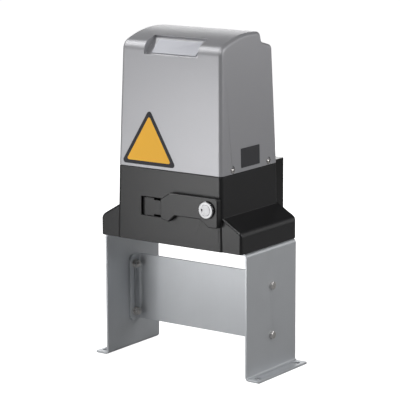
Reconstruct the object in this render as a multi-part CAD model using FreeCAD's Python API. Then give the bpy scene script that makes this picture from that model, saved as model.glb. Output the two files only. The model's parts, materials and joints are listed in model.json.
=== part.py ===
import FreeCAD, Part
import math
import os
from FreeCAD import Placement, Rotation, Vector

# Sliding gate motor on a bent steel stand. Millimetres, +Z up, front towards -Y.
# The origin is the centre of the four foot holes, on the ground.

# Stand
leg_span = 240.0
stand_depth = 122.0
leg_height = 177.0
steel = 3.0
bend_radius = 3.0
foot_reach = 20.0
foot_hole_radius = 5.0
foot_hole_pitch = 96.0
top_flange_reach = 30.0
sheet_corner = 2.5
cross_low = 39.2
cross_height = 96.0
cross_web_y = 11.0
cross_flange_reach = 22.0
cross_bolt_pitch = 70.0
cross_corner = 8.0

# Bolts: shank radius, across flats, head height
m6 = (3.0, 10.0, 4.0)
m8 = (4.0, 13.0, 5.3)
washer_thickness = 1.6
hole_clearance = 0.25
thread_reach = 2.0
washer_share = 0.6
nut_height = 5.0
base_bolt_inset = 17.0
base_bolt_y = 30.0
base_bolt_grip = 16.0

# Base housing
base_height = 102.0
base_half_width = 89.3
base_front = -73.1
base_rear = 63.8
side_draft = 2.5
front_draft = 0.9
base_corner = 5.6
base_wall = 4.0
wing_inset = 1.5
wing_setback = 1.7
wing_outer_height = 28.0
wing_inner_height = 45.6
wing_edge = 4.0
wing_bevel = 2.2
wing_wall = 4.5
wing_roof_outer = 3.6
wing_roof_inner = 5.4
wing_pocket_gap = 0.5
rib_thickness = 3.0
boss_wall = 4.5

# Cover
seam_gap = 1.0
gasket_inset = 0.6
cover_wall = 3.0
cover_side_draft = 0.0248
cover_front_draft = 0.033
cover_rear_draft = 0.041
cover_front_inset = 0.2
crown_height = 186.2
crown_radius = 177.0
crown_y = 7.5
step_top_y = 28.5
step_foot_y = 32.5
shoulder_height = 164.3
front_round = 16.0
step_round = 7.5
step_hollow = 5.0
shoulder_round = 7.5
shoulder_drop = 6.5
badge_half_width = 44.5
badge_drop = 30.2
badge_top_y = -42.0
badge_inset = 3.5
badge_plate_half_width = 36.5
badge_plate_shift = 1.0
badge_plate_height = 24.0
badge_plate_thickness = 1.2
cover_screw_y = (-45.0, 41.5)
cover_screw_height = 4.6
cover_screw_radius = 2.0
cover_screw_head_radius = 3.6
cover_screw_head = 2.4
screw_notch_radius = 5.2
screw_notch_depth = 1.5
screw_notch_rise = 1.2
lug_width = 14.0
lug_thickness = 5.0
lug_height = 10.0
lug_gap = 0.4

# Labels
label_thickness = 0.4
label_centre_x = -34.5
label_width = 92.7
label_height = 77.5
label_low = 4.0
label_corner = 4.0
plate_centre_y = -3.0
plate_width = 45.0
plate_height = 26.5
plate_low = 5.4
plate_corner_round = 1.0

# Worm drive
gear_module = 2.5
wheel_teeth = 28
wheel_width = 14.0
worm_radius = 10.0
worm_turns = 7
tooth_backlash = 0.8
pressure_angle = math.radians(20.0)
wheel_y = -6.0
output_x = -13.0
output_rise = 77.0
hub_radius = 18.0
hub_front = 21.5
hub_rear = 14.0
shaft_radius = 10.0
running_fit = 0.05
wheel_addendum = 0.9
wheel_dedendum = 1.2
wheel_recess = 3.5
wheel_rim = 7.0
worm_root_sink = 0.8
shaft_front_y = -39.0
shoulder_radius = 13.0
shoulder_width = 2.2
shoulder_gap = 0.3
bearing_radius = 21.0
bearing_width = 12.0
front_bearing_y = -40.0
rear_bearing_inset = 17.2
seal_width = 4.6
case_wall = 5.0
case_side_gap = 2.0
case_front = -45.0
case_setback = 1.0
case_height = 117.0
bearing_boss_wall = 6.0
seal_sink = 0.8
race_share = 0.28
shaft_step = 3.0
shaft_clearance = 3.0
shaft_end_gap = 3.0
motor_shaft_step = 4.0

# Drive pinion and guard
pinion_module = 4.0
pinion_teeth = 16
pinion_width = 20.0
pinion_gap = 2.3
pinion_washer_radius = 14.0
pinion_washer = 2.5
pinion_head = 4.3
pinion_hole_depth = 16.0
pinion_shank = 14.0
pinion_dedendum = 1.25
pinion_backlash = 0.2
key_width = 6.0
key_height = 3.2
key_depth = 3.0
key_gap = 0.15
key_setback = 1.0
guard_half_width = 77.2
guard_depth = 32.8
guard_low = 27.0
guard_rise = 2.4
guard_wall = 2.5
guard_corner = 4.0
guard_boss_radius = 5.0
guard_boss_inset = 9.0
slot_clearance = 4.0

# Release
dog_gap = 0.4
dog_radius = 20.0
dog_flange = 5.0
dog_teeth = 4
dog_tooth_length = 4.6
dog_tooth_angle = 38.0
dog_tooth_gap = 3.5
dog_tooth_inner = 13.0
dog_tooth_inset = 0.5
groove_radius = 14.0
fork_thickness = 4.0
fork_gap = 0.3
clutch_travel = 8.0
spring_wire = 1.5
spring_radius = 12.0
spring_turns = 4
spring_steps = 14
spring_gap = 0.5
fork_rod_radius = 4.0
fork_rod_rise = 45.0
fork_rod_guide = 28.0
fork_tip_radius = 2.0
fork_tip_length = 5.0
fork_tip_gap = 0.7
fork_ring_width = 6.0
fork_web_margin = 1.0
fork_hub_wall = 3.0
hinge_x = -40.3
hinge_setback = 6.7
hinge_barrel_radius = 6.3
hinge_pin_radius = 2.5
hinge_lug_height = 8.0
hinge_lug_radius = 6.0
cam_small_radius = 8.0
cam_thickness = 10.0
window_rise = 36.5
window_height = 26.5
window_gap = 0.8
window_right = 5.7
tab_thickness = 5.0
tab_notch = 2.4
tab_notch_x = -25.3
arm_gap = 0.5
arm_thickness = 8.0
arm_front_wall = 3.0
arm_side_wall = 2.6
arm_left = -8.3
arm_right = 86.2
arm_rise = 74.0
arm_height = 30.2
arm_step = 9.8
arm_edge = 1.0
arm_slope = 3.7
arm_shoulder = 9.6
arm_shoulder_run = 15.0
arm_heel = 15.5
arm_heel_run = 12.0
arm_notch = 13.0
arm_notch_run = 10.5
arm_corner = 3.0
arm_inner_corner = 2.0
lock_x = 69.4
lock_rise = 58.0
lock_rim_radius = 12.2
lock_rim = 3.8
lock_rim_round = 1.6
lock_proud = 0.3
lock_pad_height = 1.0
lock_pad_wall = 2.0
lock_body_radius = 9.0
lock_plug_radius = 7.4
keyhole_offset = 5.6
keyhole_width = 2.0
keyhole_height = 3.0
keyhole_depth = 5.0
lock_hole_gap = 1.3
lock_nut_across = 22.0
lock_nut = 3.6
lock_cam_length = 17.0
lock_cam_width = 9.0
lock_cam_thickness = 2.5
lock_cam_gap = 0.7
lock_cam_play = 0.1
lock_cam_hub = 2.0
lock_tongue_round = 2.0

# Motor
motor_radius = 40.0
motor_shell_wall = 2.0
motor_length = 100.0
motor_flange_radius = 41.0
motor_plate = 8.0
stator_length = 64.0
stator_bottom = 18.0
air_gap = 0.6
rotor_radius = 24.0
motor_shaft_radius = 7.5
worm_neck_radius = 7.0
motor_bearing_radius = 17.5
motor_bearing_width = 11.0
motor_bearing_rise = 10.0
bearing_hub_wall = 3.0
plate_screw_inset = 5.0
plate_screw_boss = 16.0
fin_count = 24
fin_height = 2.4
fin_thickness = 1.6
end_cap = 14.0
tie_bolt_radius = 2.5
tie_bolt_circle = 43.0
tie_bolt_head = (8.0, 3.5)
tie_boss_wall = 4.0
cap_boss_wall = 3.0
tie_bolt_inset = 1.0
plate_screw_head = (7.0, 2.8)
plate_boss_drop = 8.0
plate_corner = 3.0
bearing_shelf = 1.0
end_cap_round = 5.0
fin_margin = 6.0
slot_count = 12
slot_start = 2.0
slot_depth = 7.0
slot_width = 4.0
slot_liner = 0.3
end_coil = 10.0

# Electrics
bracket_x = -26.0
bracket_thickness = 2.0
bracket_height = 134.0
bracket_foot = 8.0
bracket_bend = 1.0
bracket_front = -44.0
bracket_rear = 40.0
motor_clearance = 2.0
board_standoff = 5.0
standoff_radius = 3.0
standoff_inset = 6.0
board_edge = 1.0
board_thickness = 1.6
board_low = 46.0
board_height = 84.0
relay_size = (15.0, 18.0, 15.0)
relay_pitch = 22.0
relay_inset = 2.0
relay_low = 12.0
fuse_radius = 4.0
fuse_length = 24.0
fuse_inset = 16.0
fuse_low = 14.0
switch_size = (4.0, 18.0, 10.0)
switch_inset = 42.0
switch_low = 44.0
terminal_depth = 10.0
terminal_height = 12.0
terminal_drop = 4.0
terminal_inset = 4.0
terminal_ways = 7
terminal_pitch = 9.5
terminal_hole_radius = 2.2
terminal_hole_depth = 5.0
capacitor_radius = 15.0
capacitor_height = 42.0
capacitor_round = 2.0
lug_size = (1.0, 6.0, 6.0)
lug_pitch = 10.0
transformer_size = (28.0, 42.0, 38.0)
transformer_inset = 11.0
transformer_gap = 1.0
transformer_yoke = 8.0
coil_window = 24.0
coil_width = 30.0
coil_inset = 1.0
coil_corner = 3.0
sensor_left = 14.0
sensor_size = (20.0, 12.0, 14.0)
sensor_gap = 3.0
sensor_round = 2.0
gland_inset = 17.3
gland_y = 30.0
gland_radius = 7.0
gland_bore_radius = 3.5
gland_nut = 19.0
gland_nut_height = 6.0
gland_lock_height = 5.0
gland_reach = 8.0
gland_play = 0.1

# How far a cutting shape runs past the face it opens
past = 1.0

# Derived places
leg_x = leg_span / 2
base_low = leg_height
base_top = base_low + base_height
seam = base_top + seam_gap
base_bolt_x = leg_x - base_bolt_inset
wing_half_width = leg_x - wing_inset
cover_edge = base_corner
badge_low = crown_height - badge_drop
output_z = base_low + output_rise
fork_rod_z = base_low + fork_rod_rise
hinge_y = base_front + hinge_setback
window_low = base_low + window_rise
window_high = window_low + window_height
arm_top = base_low + arm_rise
arm_bottom = arm_top - arm_height
arm_step_low = arm_bottom - arm_step
lock_z = base_low + lock_rise
motor_bearing_low = base_low + motor_bearing_rise
rear_bearing_y = base_rear - rear_bearing_inset
gland_x = base_half_width - gland_inset
worm_lead = math.pi * gear_module
wheel_radius = gear_module * wheel_teeth / 2
worm_x = output_x + wheel_radius + worm_radius
case_top = base_low + case_height
case_rear = base_rear - base_wall - case_setback
case_left = output_x - wheel_radius - gear_module - case_side_gap - case_wall
case_right = worm_x + motor_bearing_radius + bearing_hub_wall + case_side_gap + case_wall
motor_low = case_top + motor_plate
wheel_front = wheel_y - wheel_width / 2
wheel_hub_rear = wheel_y + hub_rear
dog_front = wheel_hub_rear + dog_gap
groove_front = dog_front + dog_flange
groove_width = fork_thickness + 2 * fork_gap
dog_rear = groove_front + groove_width + dog_flange
pinion_front = base_rear + pinion_gap
pinion_rear = pinion_front + pinion_width
shoulder_front = rear_bearing_y - shoulder_gap - shoulder_width
spring_front = dog_rear + clutch_travel + spring_gap
arm_back = base_front - arm_gap
arm_face = arm_back - arm_thickness

NORMALS = {"XY": Vector(0, 0, 1), "XZ": Vector(0, 1, 0), "YZ": Vector(1, 0, 0)}


# Shape helpers
def point_on(plane, level, a, b):
    if plane == "XY":
        return Vector(a, b, level)
    if plane == "XZ":
        return Vector(a, level, b)
    return Vector(level, a, b)


def outline(points, plane, level):
    """Closed wire through (a, b, radius) corners, each rounded by its own radius."""
    corners = []
    for index, corner in enumerate(points):
        here = Vector(corner[0], corner[1], 0)
        before = Vector(points[index - 1][0], points[index - 1][1], 0)
        after_corner = points[(index + 1) % len(points)]
        after = Vector(after_corner[0], after_corner[1], 0)
        radius = corner[2] if len(corner) > 2 else 0.0
        if radius > 0:
            to_before = (before - here).normalize()
            to_after = (after - here).normalize()
            half = to_before.getAngle(to_after) / 2
            middle_way = (to_before + to_after).normalize()
            start = here + to_before * (radius / math.tan(half))
            end = here + to_after * (radius / math.tan(half))
            middle = here + middle_way * (radius / math.sin(half) - radius)
            corners.append((start, middle, end))
        else:
            corners.append((here, None, here))
    edges = []
    for index, (start, middle, end) in enumerate(corners):
        place = [point_on(plane, level, p.x, p.y) for p in (start, middle, end) if p is not None]
        if middle is not None:
            edges.append(Part.Arc(place[0], place[1], place[2]).toShape())
        following = corners[(index + 1) % len(corners)][0]
        target = point_on(plane, level, following.x, following.y)
        if (target - place[-1]).Length > 1e-6:
            edges.append(Part.LineSegment(place[-1], target).toShape())
    return Part.Wire(edges)


def slab(points, plane, start, stop):
    """Solid with a flat outline in a plane, from one level to another."""
    face = Part.Face(outline(points, plane, start))
    return face.extrude(NORMALS[plane] * (stop - start))


def block(x0, x1, y0, y1, z0, z1):
    return Part.makeBox(x1 - x0, y1 - y0, z1 - z0, Vector(x0, y0, z0))


def rectangle(a0, a1, b0, b1, radius=0.0):
    return [(a0, b0, radius), (a1, b0, radius), (a1, b1, radius), (a0, b1, radius)]


def rod(axis, a, b, start, stop, radius):
    """Cylinder along X, Y or Z whose axis passes through (a, b) of the other two."""
    if axis == "X":
        return Part.makeCylinder(radius, stop - start, Vector(start, a, b), Vector(1, 0, 0))
    if axis == "Y":
        return Part.makeCylinder(radius, stop - start, Vector(a, start, b), Vector(0, 1, 0))
    return Part.makeCylinder(radius, stop - start, Vector(a, b, start), Vector(0, 0, 1))


def ring(axis, a, b, start, stop, outer, inner):
    return rod(axis, a, b, start, stop, outer).cut(rod(axis, a, b, start, stop, inner))


def hexagon(axis, a, b, start, stop, across):
    corner = across / math.sqrt(3)
    points = [(a + corner * math.cos(math.radians(60 * k)), b + corner * math.sin(math.radians(60 * k)))
              for k in range(6)]
    return slab(points, {"X": "YZ", "Y": "XZ", "Z": "XY"}[axis], start, stop)


def fuse(*shapes):
    whole = shapes[0]
    for shape in shapes[1:]:
        whole = whole.fuse(shape)
    return whole.removeSplitter()


def mirrored(shape):
    return shape.mirror(Vector(0, 0, 0), Vector(1, 0, 0))


def fillet_near(shape, radius, places, reach=0.6):
    """Round the edges that pass close to the given places."""
    edges = []
    for edge in shape.Edges:
        for place in places:
            if edge.distToShape(Part.Vertex(place))[0] < reach:
                edges.append(edge)
                break
    return shape.makeFillet(radius, edges)


def tapered_box(low, high, low_box, high_box, radius):
    """Loft between two rounded rectangles (x0, x1, y0, y1) at two heights."""
    wires = [outline(rectangle(*box, radius), "XY", level) for level, box in ((low, low_box), (high, high_box))]
    return Part.makeLoft(wires, True, True)


def save(name, *solids):
    shape = solids[0] if len(solids) == 1 else Part.makeCompound(list(solids))
    shape.exportStep("parts/" + name + ".step")


# Stand
def leg():
    """Right leg: upright sheet with its foot turned out and its top flange turned in."""
    outer = bend_radius + steel
    inner_x = leg_x - steel
    section = [
        (inner_x, 0, outer), (leg_x + foot_reach, 0), (leg_x + foot_reach, steel),
        (leg_x, steel, bend_radius), (leg_x, leg_height, outer),
        (leg_x - top_flange_reach, leg_height), (leg_x - top_flange_reach, leg_height - steel),
        (inner_x, leg_height - steel, bend_radius),
    ]
    half = stand_depth / 2
    sheet = slab(section, "XZ", -half, half)
    foot_edge = [Vector(leg_x + foot_reach, y, steel / 2) for y in (-half, half)]
    flange_edge = [Vector(leg_x - top_flange_reach, y, leg_height - steel / 2) for y in (-half, half)]
    sheet = fillet_near(sheet, sheet_corner, foot_edge + flange_edge, steel / 4)
    for y in (-foot_hole_pitch / 2, foot_hole_pitch / 2):
        sheet = sheet.cut(rod("Z", leg_x + foot_reach / 2, y, -past, steel + past, foot_hole_radius))
    for y in (-base_bolt_y, base_bolt_y):
        hole = rod("Z", base_bolt_x, y, leg_height - 2 * steel, leg_height + past, m8[0] + hole_clearance)
        sheet = sheet.cut(hole)
    for z in cross_bolt_heights():
        sheet = sheet.cut(rod("X", cross_bolt_y(), z, inner_x - past, leg_x + past, m6[0] + hole_clearance))
    return sheet


def cross_bolt_heights():
    middle = cross_low + cross_height / 2
    return (middle - cross_bolt_pitch / 2, middle + cross_bolt_pitch / 2)


def cross_bolt_y():
    return cross_web_y - cross_flange_reach / 2


def cross_plate():
    """Web across the stand with a flange bent forward against each leg."""
    outer = bend_radius + steel
    side = leg_x - steel
    front = cross_web_y - cross_flange_reach
    back = cross_web_y + steel
    section = [
        (-side, front), (-side, back, outer), (side, back, outer), (side, front),
        (side - steel, front), (side - steel, cross_web_y, bend_radius),
        (-side + steel, cross_web_y, bend_radius), (-side + steel, front),
    ]
    plate = slab(section, "XY", cross_low, cross_low + cross_height)
    corners = [Vector(x, front, z) for x in (-side + steel / 2, side - steel / 2)
               for z in (cross_low, cross_low + cross_height)]
    plate = fillet_near(plate, cross_corner, corners, steel / 4)
    for z in cross_bolt_heights():
        plate = plate.cut(rod("X", cross_bolt_y(), z, -leg_x, leg_x, m6[0] + hole_clearance))
    return plate


def cross_bolts():
    """Bolt heads on the legs' outer faces, shanks through leg and flange."""
    bolts = []
    for z in cross_bolt_heights():
        head = hexagon("X", cross_bolt_y(), z, leg_x, leg_x + m6[2], m6[1])
        length = 2 * steel + washer_thickness + nut_height + thread_reach
        bolt = fuse(head, rod("X", cross_bolt_y(), z, leg_x - length, leg_x + past, m6[0]))
        bolts += [bolt, mirrored(bolt)]
    return bolts


def cross_nuts():
    nuts = []
    seat = leg_x - 2 * steel
    hole = m6[0] + hole_clearance / 5
    for z in cross_bolt_heights():
        washer = ring("X", cross_bolt_y(), z, seat - washer_thickness, seat, m6[1] * washer_share, hole)
        nut_seat = seat - washer_thickness
        nut = hexagon("X", cross_bolt_y(), z, nut_seat - nut_height, nut_seat, m6[1])
        nut = nut.cut(rod("X", cross_bolt_y(), z, 0, leg_x, hole))
        both = fuse(washer, nut)
        nuts += [both, mirrored(both)]
    return nuts


def base_bolts():
    """Bolts up through the top flanges into the side feet of the base."""
    bolts = []
    seat = leg_height - steel - washer_thickness
    for x, y in base_bolt_places():
        head = hexagon("Z", x, y, seat - m8[2], seat, m8[1])
        bolts.append(fuse(head, rod("Z", x, y, seat - past, leg_height + base_bolt_grip, m8[0])))
    return bolts


def base_bolt_places():
    return [(x, y) for x in (-base_bolt_x, base_bolt_x) for y in (-base_bolt_y, base_bolt_y)]


def base_washers():
    seat = leg_height - steel
    hole = m8[0] + hole_clearance / 5
    return [ring("Z", x, y, seat - washer_thickness, seat, m8[0] * 2, hole) for x, y in base_bolt_places()]


# Base housing
def base_shell(inset, low, high):
    """Drafted rounded box of the base, drawn in by an inset, between two heights."""
    boxes = []
    for z in (low, high):
        share = (z - base_low) / base_height
        half = base_half_width - side_draft * share - inset
        front = base_front + front_draft * share + inset
        boxes.append((-half, half, front, base_rear - inset))
    return tapered_box(low, high, boxes[0], boxes[1], max(base_corner - inset, 1.0))


def wing():
    """Right side foot: sloping top, rounded outer edges, hollow below with two bolt bosses."""
    front = base_front + wing_setback
    inner = base_half_width - base_wall
    top_outer = base_low + wing_outer_height
    top_inner = base_low + wing_inner_height
    slope = (top_inner - top_outer) / (wing_half_width - base_half_width)
    section = [(inner, base_low), (wing_half_width, base_low), (wing_half_width, top_outer),
               (inner, top_inner + slope * base_wall)]
    solid = slab(section, "XZ", front, base_rear)
    middle_x = (base_half_width + wing_half_width) / 2
    bevel_z = top_outer + slope * (wing_half_width - middle_x)
    place = Part.Vertex(Vector(middle_x, front, bevel_z))
    bevel = [edge for edge in solid.Edges if edge.distToShape(place)[0] < wing_bevel / 2]
    solid = solid.makeChamfer(wing_bevel, bevel)
    upright = [Vector(wing_half_width, y, base_low + wing_outer_height / 2) for y in (front, base_rear)]
    solid = fillet_near(solid, wing_edge, upright)
    pocket_inner = base_half_width + wing_pocket_gap
    pocket_outer = wing_half_width - wing_wall
    pocket = [(pocket_inner, base_low - past), (pocket_outer, base_low - past),
              (pocket_outer, top_outer - wing_roof_outer), (pocket_inner, top_inner - wing_roof_inner)]
    solid = solid.cut(slab(pocket, "XZ", front + wing_wall, base_rear - wing_wall))
    for y in (-base_bolt_y, base_bolt_y):
        boss_top = base_low + base_bolt_grip + boss_wall
        boss = rod("Z", base_bolt_x, y, base_low, boss_top, m8[0] + boss_wall)
        rib = block(inner, wing_half_width - wing_wall / 2, y - rib_thickness / 2, y + rib_thickness / 2,
                    base_low + boss_wall, top_outer - wing_wall / 2)
        solid = solid.fuse(boss).fuse(rib)
    for y in (-base_bolt_y, base_bolt_y):
        bore = rod("Z", base_bolt_x, y, base_low - past, base_low + base_bolt_grip + past,
                   m8[0] + hole_clearance)
        solid = solid.cut(bore)
    return solid


def gear_case():
    """Inner case round the worm and wheel, open at the top, with its bearing seats."""
    outer = block(case_left, case_right, case_front, case_rear, base_low, case_top)
    inner = block(case_left + case_wall, case_right - case_wall, case_front + case_wall,
                  case_rear - case_wall, base_low + base_wall, case_top + past)
    case = outer.cut(inner)
    boss = bearing_radius + bearing_boss_wall
    front_boss = rod("Y", output_x, output_z, case_front, front_bearing_y + bearing_width, boss)
    rear_boss = rod("Y", output_x, output_z, rear_bearing_y - past, base_rear, boss)
    foot = rod("Z", worm_x, wheel_y, base_low, motor_bearing_low + motor_bearing_width,
               motor_bearing_radius + bearing_boss_wall)
    guide_rear = rod("Y", hinge_x, fork_rod_z, base_rear - base_wall - fork_rod_guide, base_rear - past,
                     fork_rod_radius + boss_wall)
    whole = case.fuse(front_boss).fuse(rear_boss).fuse(foot).fuse(guide_rear)
    for x, y in plate_screw_places():
        whole = whole.fuse(rod("Z", x, y, case_top - plate_screw_boss, case_top, plate_screw_inset))
    keep = block(case_left, case_right, case_front, case_rear, base_low, case_top)
    keep_rear = block(case_left, case_right, case_rear - past, base_rear - past, base_low, base_top)
    return whole.common(keep.fuse(keep_rear))


def case_bores():
    """Bearing seats and shaft passages cut through the housing."""
    bores = [
        rod("Y", output_x, output_z, front_bearing_y, front_bearing_y + bearing_width + past, bearing_radius),
        rod("Y", output_x, output_z, rear_bearing_y, base_rear + past, bearing_radius),
        rod("Y", output_x, output_z, rear_bearing_y - 2 * past, rear_bearing_y + past,
            bearing_radius - shaft_step),
        rod("Z", worm_x, wheel_y, motor_bearing_low, motor_bearing_low + motor_bearing_width + past,
            motor_bearing_radius),
        rod("Z", worm_x, wheel_y, motor_bearing_low - shaft_step, motor_bearing_low + past,
            motor_bearing_radius - motor_shaft_step),
        rod("Y", hinge_x, fork_rod_z, case_front - past, base_rear - base_wall / 2,
            fork_rod_radius + running_fit),
    ]
    for x, y in plate_screw_places():
        bores.append(rod("Z", x, y, case_top - plate_screw_depth() - past, case_top + past,
                         cover_screw_radius + running_fit))
    return bores


def plate_screw_depth():
    return plate_screw_boss / 2


def cover_half_width(z):
    return base_half_width - side_draft - cover_side_draft * (z - seam)


def cover_lugs():
    """Upright lugs inside the cover that take its side screws."""
    outer_face = cover_half_width(seam + lug_height) - cover_wall - lug_gap
    inner_face = outer_face - lug_thickness
    foot = base_top - 2 * lug_height
    lugs = []
    for y in cover_screw_y:
        front = y - lug_width / 2
        rear = y + lug_width / 2
        tab = block(inner_face, outer_face, front, rear, foot, seam + lug_height)
        root = block(inner_face, base_half_width - side_draft - past, front, rear, foot, base_top - past)
        bore = rod("X", y, seam + cover_screw_height, inner_face - lug_thickness, outer_face + past,
                   cover_screw_radius + hole_clearance / 5)
        lug = tab.fuse(root).cut(bore)
        lugs += [lug, mirrored(lug)]
    return lugs


def guard_screw_places():
    low = base_low + guard_low + guard_boss_inset
    high = guard_top() - guard_boss_inset
    side = guard_half_width - guard_boss_inset
    return [(x, z) for x in (-side, side) for z in (low, high)]


def window_left():
    return hinge_x - hinge_barrel_radius - window_gap


def base_housing():
    shell = base_shell(0, base_low, base_top)
    cavity = base_shell(base_wall, base_low + base_wall, base_top + past)
    right_wing = wing()
    body = shell.fuse(right_wing).fuse(mirrored(right_wing)).cut(cavity)
    body = body.fuse(gear_case())
    for lug in cover_lugs():
        body = body.fuse(lug)
    for z0 in (window_low - hinge_lug_height, window_high):
        z1 = z0 + hinge_lug_height
        lug = rod("Z", hinge_x, hinge_y, z0, z1, hinge_lug_radius)
        root = block(hinge_x - hinge_lug_radius, hinge_x + hinge_lug_radius, base_front + base_wall / 2,
                     hinge_y, z0, z1)
        body = body.fuse(lug).fuse(root)
    body = body.cut(rod("Z", hinge_x, hinge_y, window_low - hinge_lug_height - past,
                        window_high + hinge_lug_height + past, hinge_pin_radius))
    for opening in (hinge_window(), lock_hole(), cam_slot()):
        body = body.cut(opening)
    for bore in case_bores():
        body = body.cut(bore)
    for x, z in guard_screw_places():
        body = body.cut(rod("Y", x, z, base_rear - base_wall - past, base_rear + past,
                            cover_screw_radius + running_fit))
    body = body.cut(rod("Z", gland_x, gland_y, base_low - past, base_low + base_wall + past, gland_radius))
    return body.removeSplitter()


def hinge_window():
    """Opening in the front wall for the lever's barrel and tab."""
    return block(window_left(), window_right, base_front - past, base_front + base_wall + 2 * past,
                 window_low, window_high)


def lock_hole():
    return rod("Y", lock_x, lock_z, base_front - past, base_front + 2 * base_wall,
               lock_body_radius + lock_hole_gap)


def cam_slot():
    """Slot below the lock hole that lets the lock's tongue in when it is turned down."""
    half = lock_cam_width / 2 + lock_hole_gap
    return block(lock_x - half, lock_x + half, base_front - past, base_front + 2 * base_wall,
                 lock_z - lock_cam_length - lock_hole_gap, lock_z)


def cover_gasket():
    """Thin rubber frame between base and cover, set back a little from their faces."""
    half = base_half_width - side_draft - gasket_inset
    front = base_front + front_draft + gasket_inset
    rear = base_rear - gasket_inset
    width = cover_wall - gasket_inset
    frame = slab(rectangle(-half, half, front, rear, base_corner), "XY", base_top, seam)
    inner = rectangle(-half + width, half - width, front + width, rear - width, base_corner - width)
    hole = slab(inner, "XY", base_top - past, seam + past)
    return frame.cut(hole)


# Cover
def cover_front_y(z):
    return base_front + front_draft + cover_front_inset + cover_front_draft * (z - seam)


def crown_z(y):
    top = seam + crown_height
    return top - crown_radius + math.sqrt(crown_radius ** 2 - (y - crown_y) ** 2)


def cover_profile(bottom):
    """Side outline of the cover: front face, long crown, step, shoulder and rear face."""
    front_top_z = crown_z(cover_front_y(seam + crown_height))
    front_top = Vector(0, cover_front_y(front_top_z), crown_z(cover_front_y(front_top_z)))
    crown_end = Vector(0, step_top_y, crown_z(step_top_y))
    middle_y = (front_top.y + step_top_y) / 2
    crown_middle = Vector(0, middle_y, crown_z(middle_y))
    rear_top_z = seam + shoulder_height
    rear_top = Vector(0, base_rear - cover_rear_draft * shoulder_height, rear_top_z)
    step_foot = Vector(0, step_foot_y, rear_top_z + shoulder_drop)
    front_low = Vector(0, cover_front_y(bottom), bottom)
    rear_low = Vector(0, base_rear + cover_rear_draft * (seam - bottom), bottom)
    edges = [
        Part.LineSegment(front_low, front_top).toShape(),
        Part.Arc(front_top, crown_middle, crown_end).toShape(),
        Part.LineSegment(crown_end, step_foot).toShape(),
        Part.LineSegment(step_foot, rear_top).toShape(),
        Part.LineSegment(rear_top, rear_low).toShape(),
        Part.LineSegment(rear_low, front_low).toShape(),
    ]
    corners = {"front": front_top, "step_top": crown_end, "step_foot": step_foot, "shoulder": rear_top}
    return Part.Wire(edges), corners


def cover_wedge(inset, bottom):
    """Space between the two leaning sides."""
    top = seam + crown_height + badge_drop
    low = cover_half_width(bottom) - inset
    high = cover_half_width(top) - inset
    points = [(-low, bottom), (low, bottom), (high, top), (-high, top)]
    return slab(points, "XZ", -stand_depth, stand_depth)


def badge_frame():
    """Place of the badge recess: its low front corner and its lean."""
    low_y = cover_front_y(seam + badge_low)
    rise = crown_z(badge_top_y) - (seam + badge_low)
    lean = math.atan2(badge_top_y - low_y, rise)
    return Vector(0, low_y, seam + badge_low), lean, math.hypot(badge_top_y - low_y, rise)


def leaning(shape, origin, lean):
    """Set a shape drawn on the upright front plane at its place on a plane that leans back."""
    placed = shape.copy()
    turn = Rotation(Vector(1, 0, 0), -math.degrees(lean))
    placed.Placement = Placement(origin, turn).multiply(placed.Placement)
    return placed


def cover_shell():
    """Tapered hood: rounded outside, even wall, badge recess, sunk screw seats."""
    reach = 2 * base_half_width
    outer_wire, corners = cover_profile(seam)
    outer = across_body(outer_wire, reach)
    for name, radius in (("front", front_round), ("step_top", step_round), ("step_foot", step_hollow),
                         ("shoulder", shoulder_round)):
        outer = fillet_near(outer, radius, [corners[name]])
    outer = outer.common(cover_wedge(0, seam - past))
    side_edges = []
    for edge in outer.Edges:
        middle = edge.valueAt((edge.FirstParameter + edge.LastParameter) / 2)
        on_side = abs(abs(middle.x) - cover_half_width(middle.z)) < 0.01
        if on_side and middle.z > seam + 0.1:
            side_edges.append(edge)
    outer = outer.makeFillet(cover_edge, side_edges)

    inner_wire = cover_profile(seam - 2 * cover_wall)[0]
    inner = across_body(inner_wire.makeOffset2D(-cover_wall), reach)
    inner = inner.common(cover_wedge(cover_wall, seam - 3 * cover_wall))
    origin, lean, length = badge_frame()
    front = -front_round * 2
    backing = block(-badge_half_width - cover_wall, badge_half_width + cover_wall, front,
                    badge_inset + cover_wall, -cover_wall, length + cover_wall)
    pocket = block(-badge_half_width, badge_half_width, front, badge_inset, 0, length)
    inner = inner.cut(leaning(backing, origin, lean))
    shell = outer.cut(inner).cut(leaning(pocket, origin, lean))
    for y in cover_screw_y:
        z = seam + cover_screw_height
        face = cover_half_width(z)
        hole = rod("X", y, z, face - 2 * cover_wall, face + past, cover_screw_radius + hole_clearance)
        notch = rod("X", y, z + screw_notch_rise, face - screw_notch_depth, face + 2 * past,
                    screw_notch_radius)
        for cutter in (hole, notch, mirrored(hole), mirrored(notch)):
            shell = shell.cut(cutter)
    return shell.removeSplitter()


def across_body(wire, reach):
    """Solid that runs a side outline across the whole width."""
    solid = Part.Face(wire).extrude(Vector(2 * reach, 0, 0))
    solid.translate(Vector(-reach, 0, 0))
    return solid


def cover_screws():
    screws = []
    for y in cover_screw_y:
        z = seam + cover_screw_height
        seat = cover_half_width(z) - screw_notch_depth
        head = rod("X", y, z, seat, seat + cover_screw_head, cover_screw_head_radius)
        rim = Vector(seat + cover_screw_head, y, z + cover_screw_head_radius)
        head = fillet_near(head, cover_screw_head / 3, [rim])
        screw = fuse(head, rod("X", y, z, seat - 3 * cover_wall, seat + past, cover_screw_radius))
        screws += [screw, mirrored(screw)]
    return screws


def badge_plate():
    origin, lean, length = badge_frame()
    middle = length / 2
    left = badge_plate_shift - badge_plate_half_width
    points = rectangle(left, left + 2 * badge_plate_half_width, middle - badge_plate_height / 2,
                       middle + badge_plate_height / 2, badge_plate_thickness)
    return leaning(slab(points, "XZ", badge_inset - badge_plate_thickness, badge_inset), origin, lean)


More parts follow.
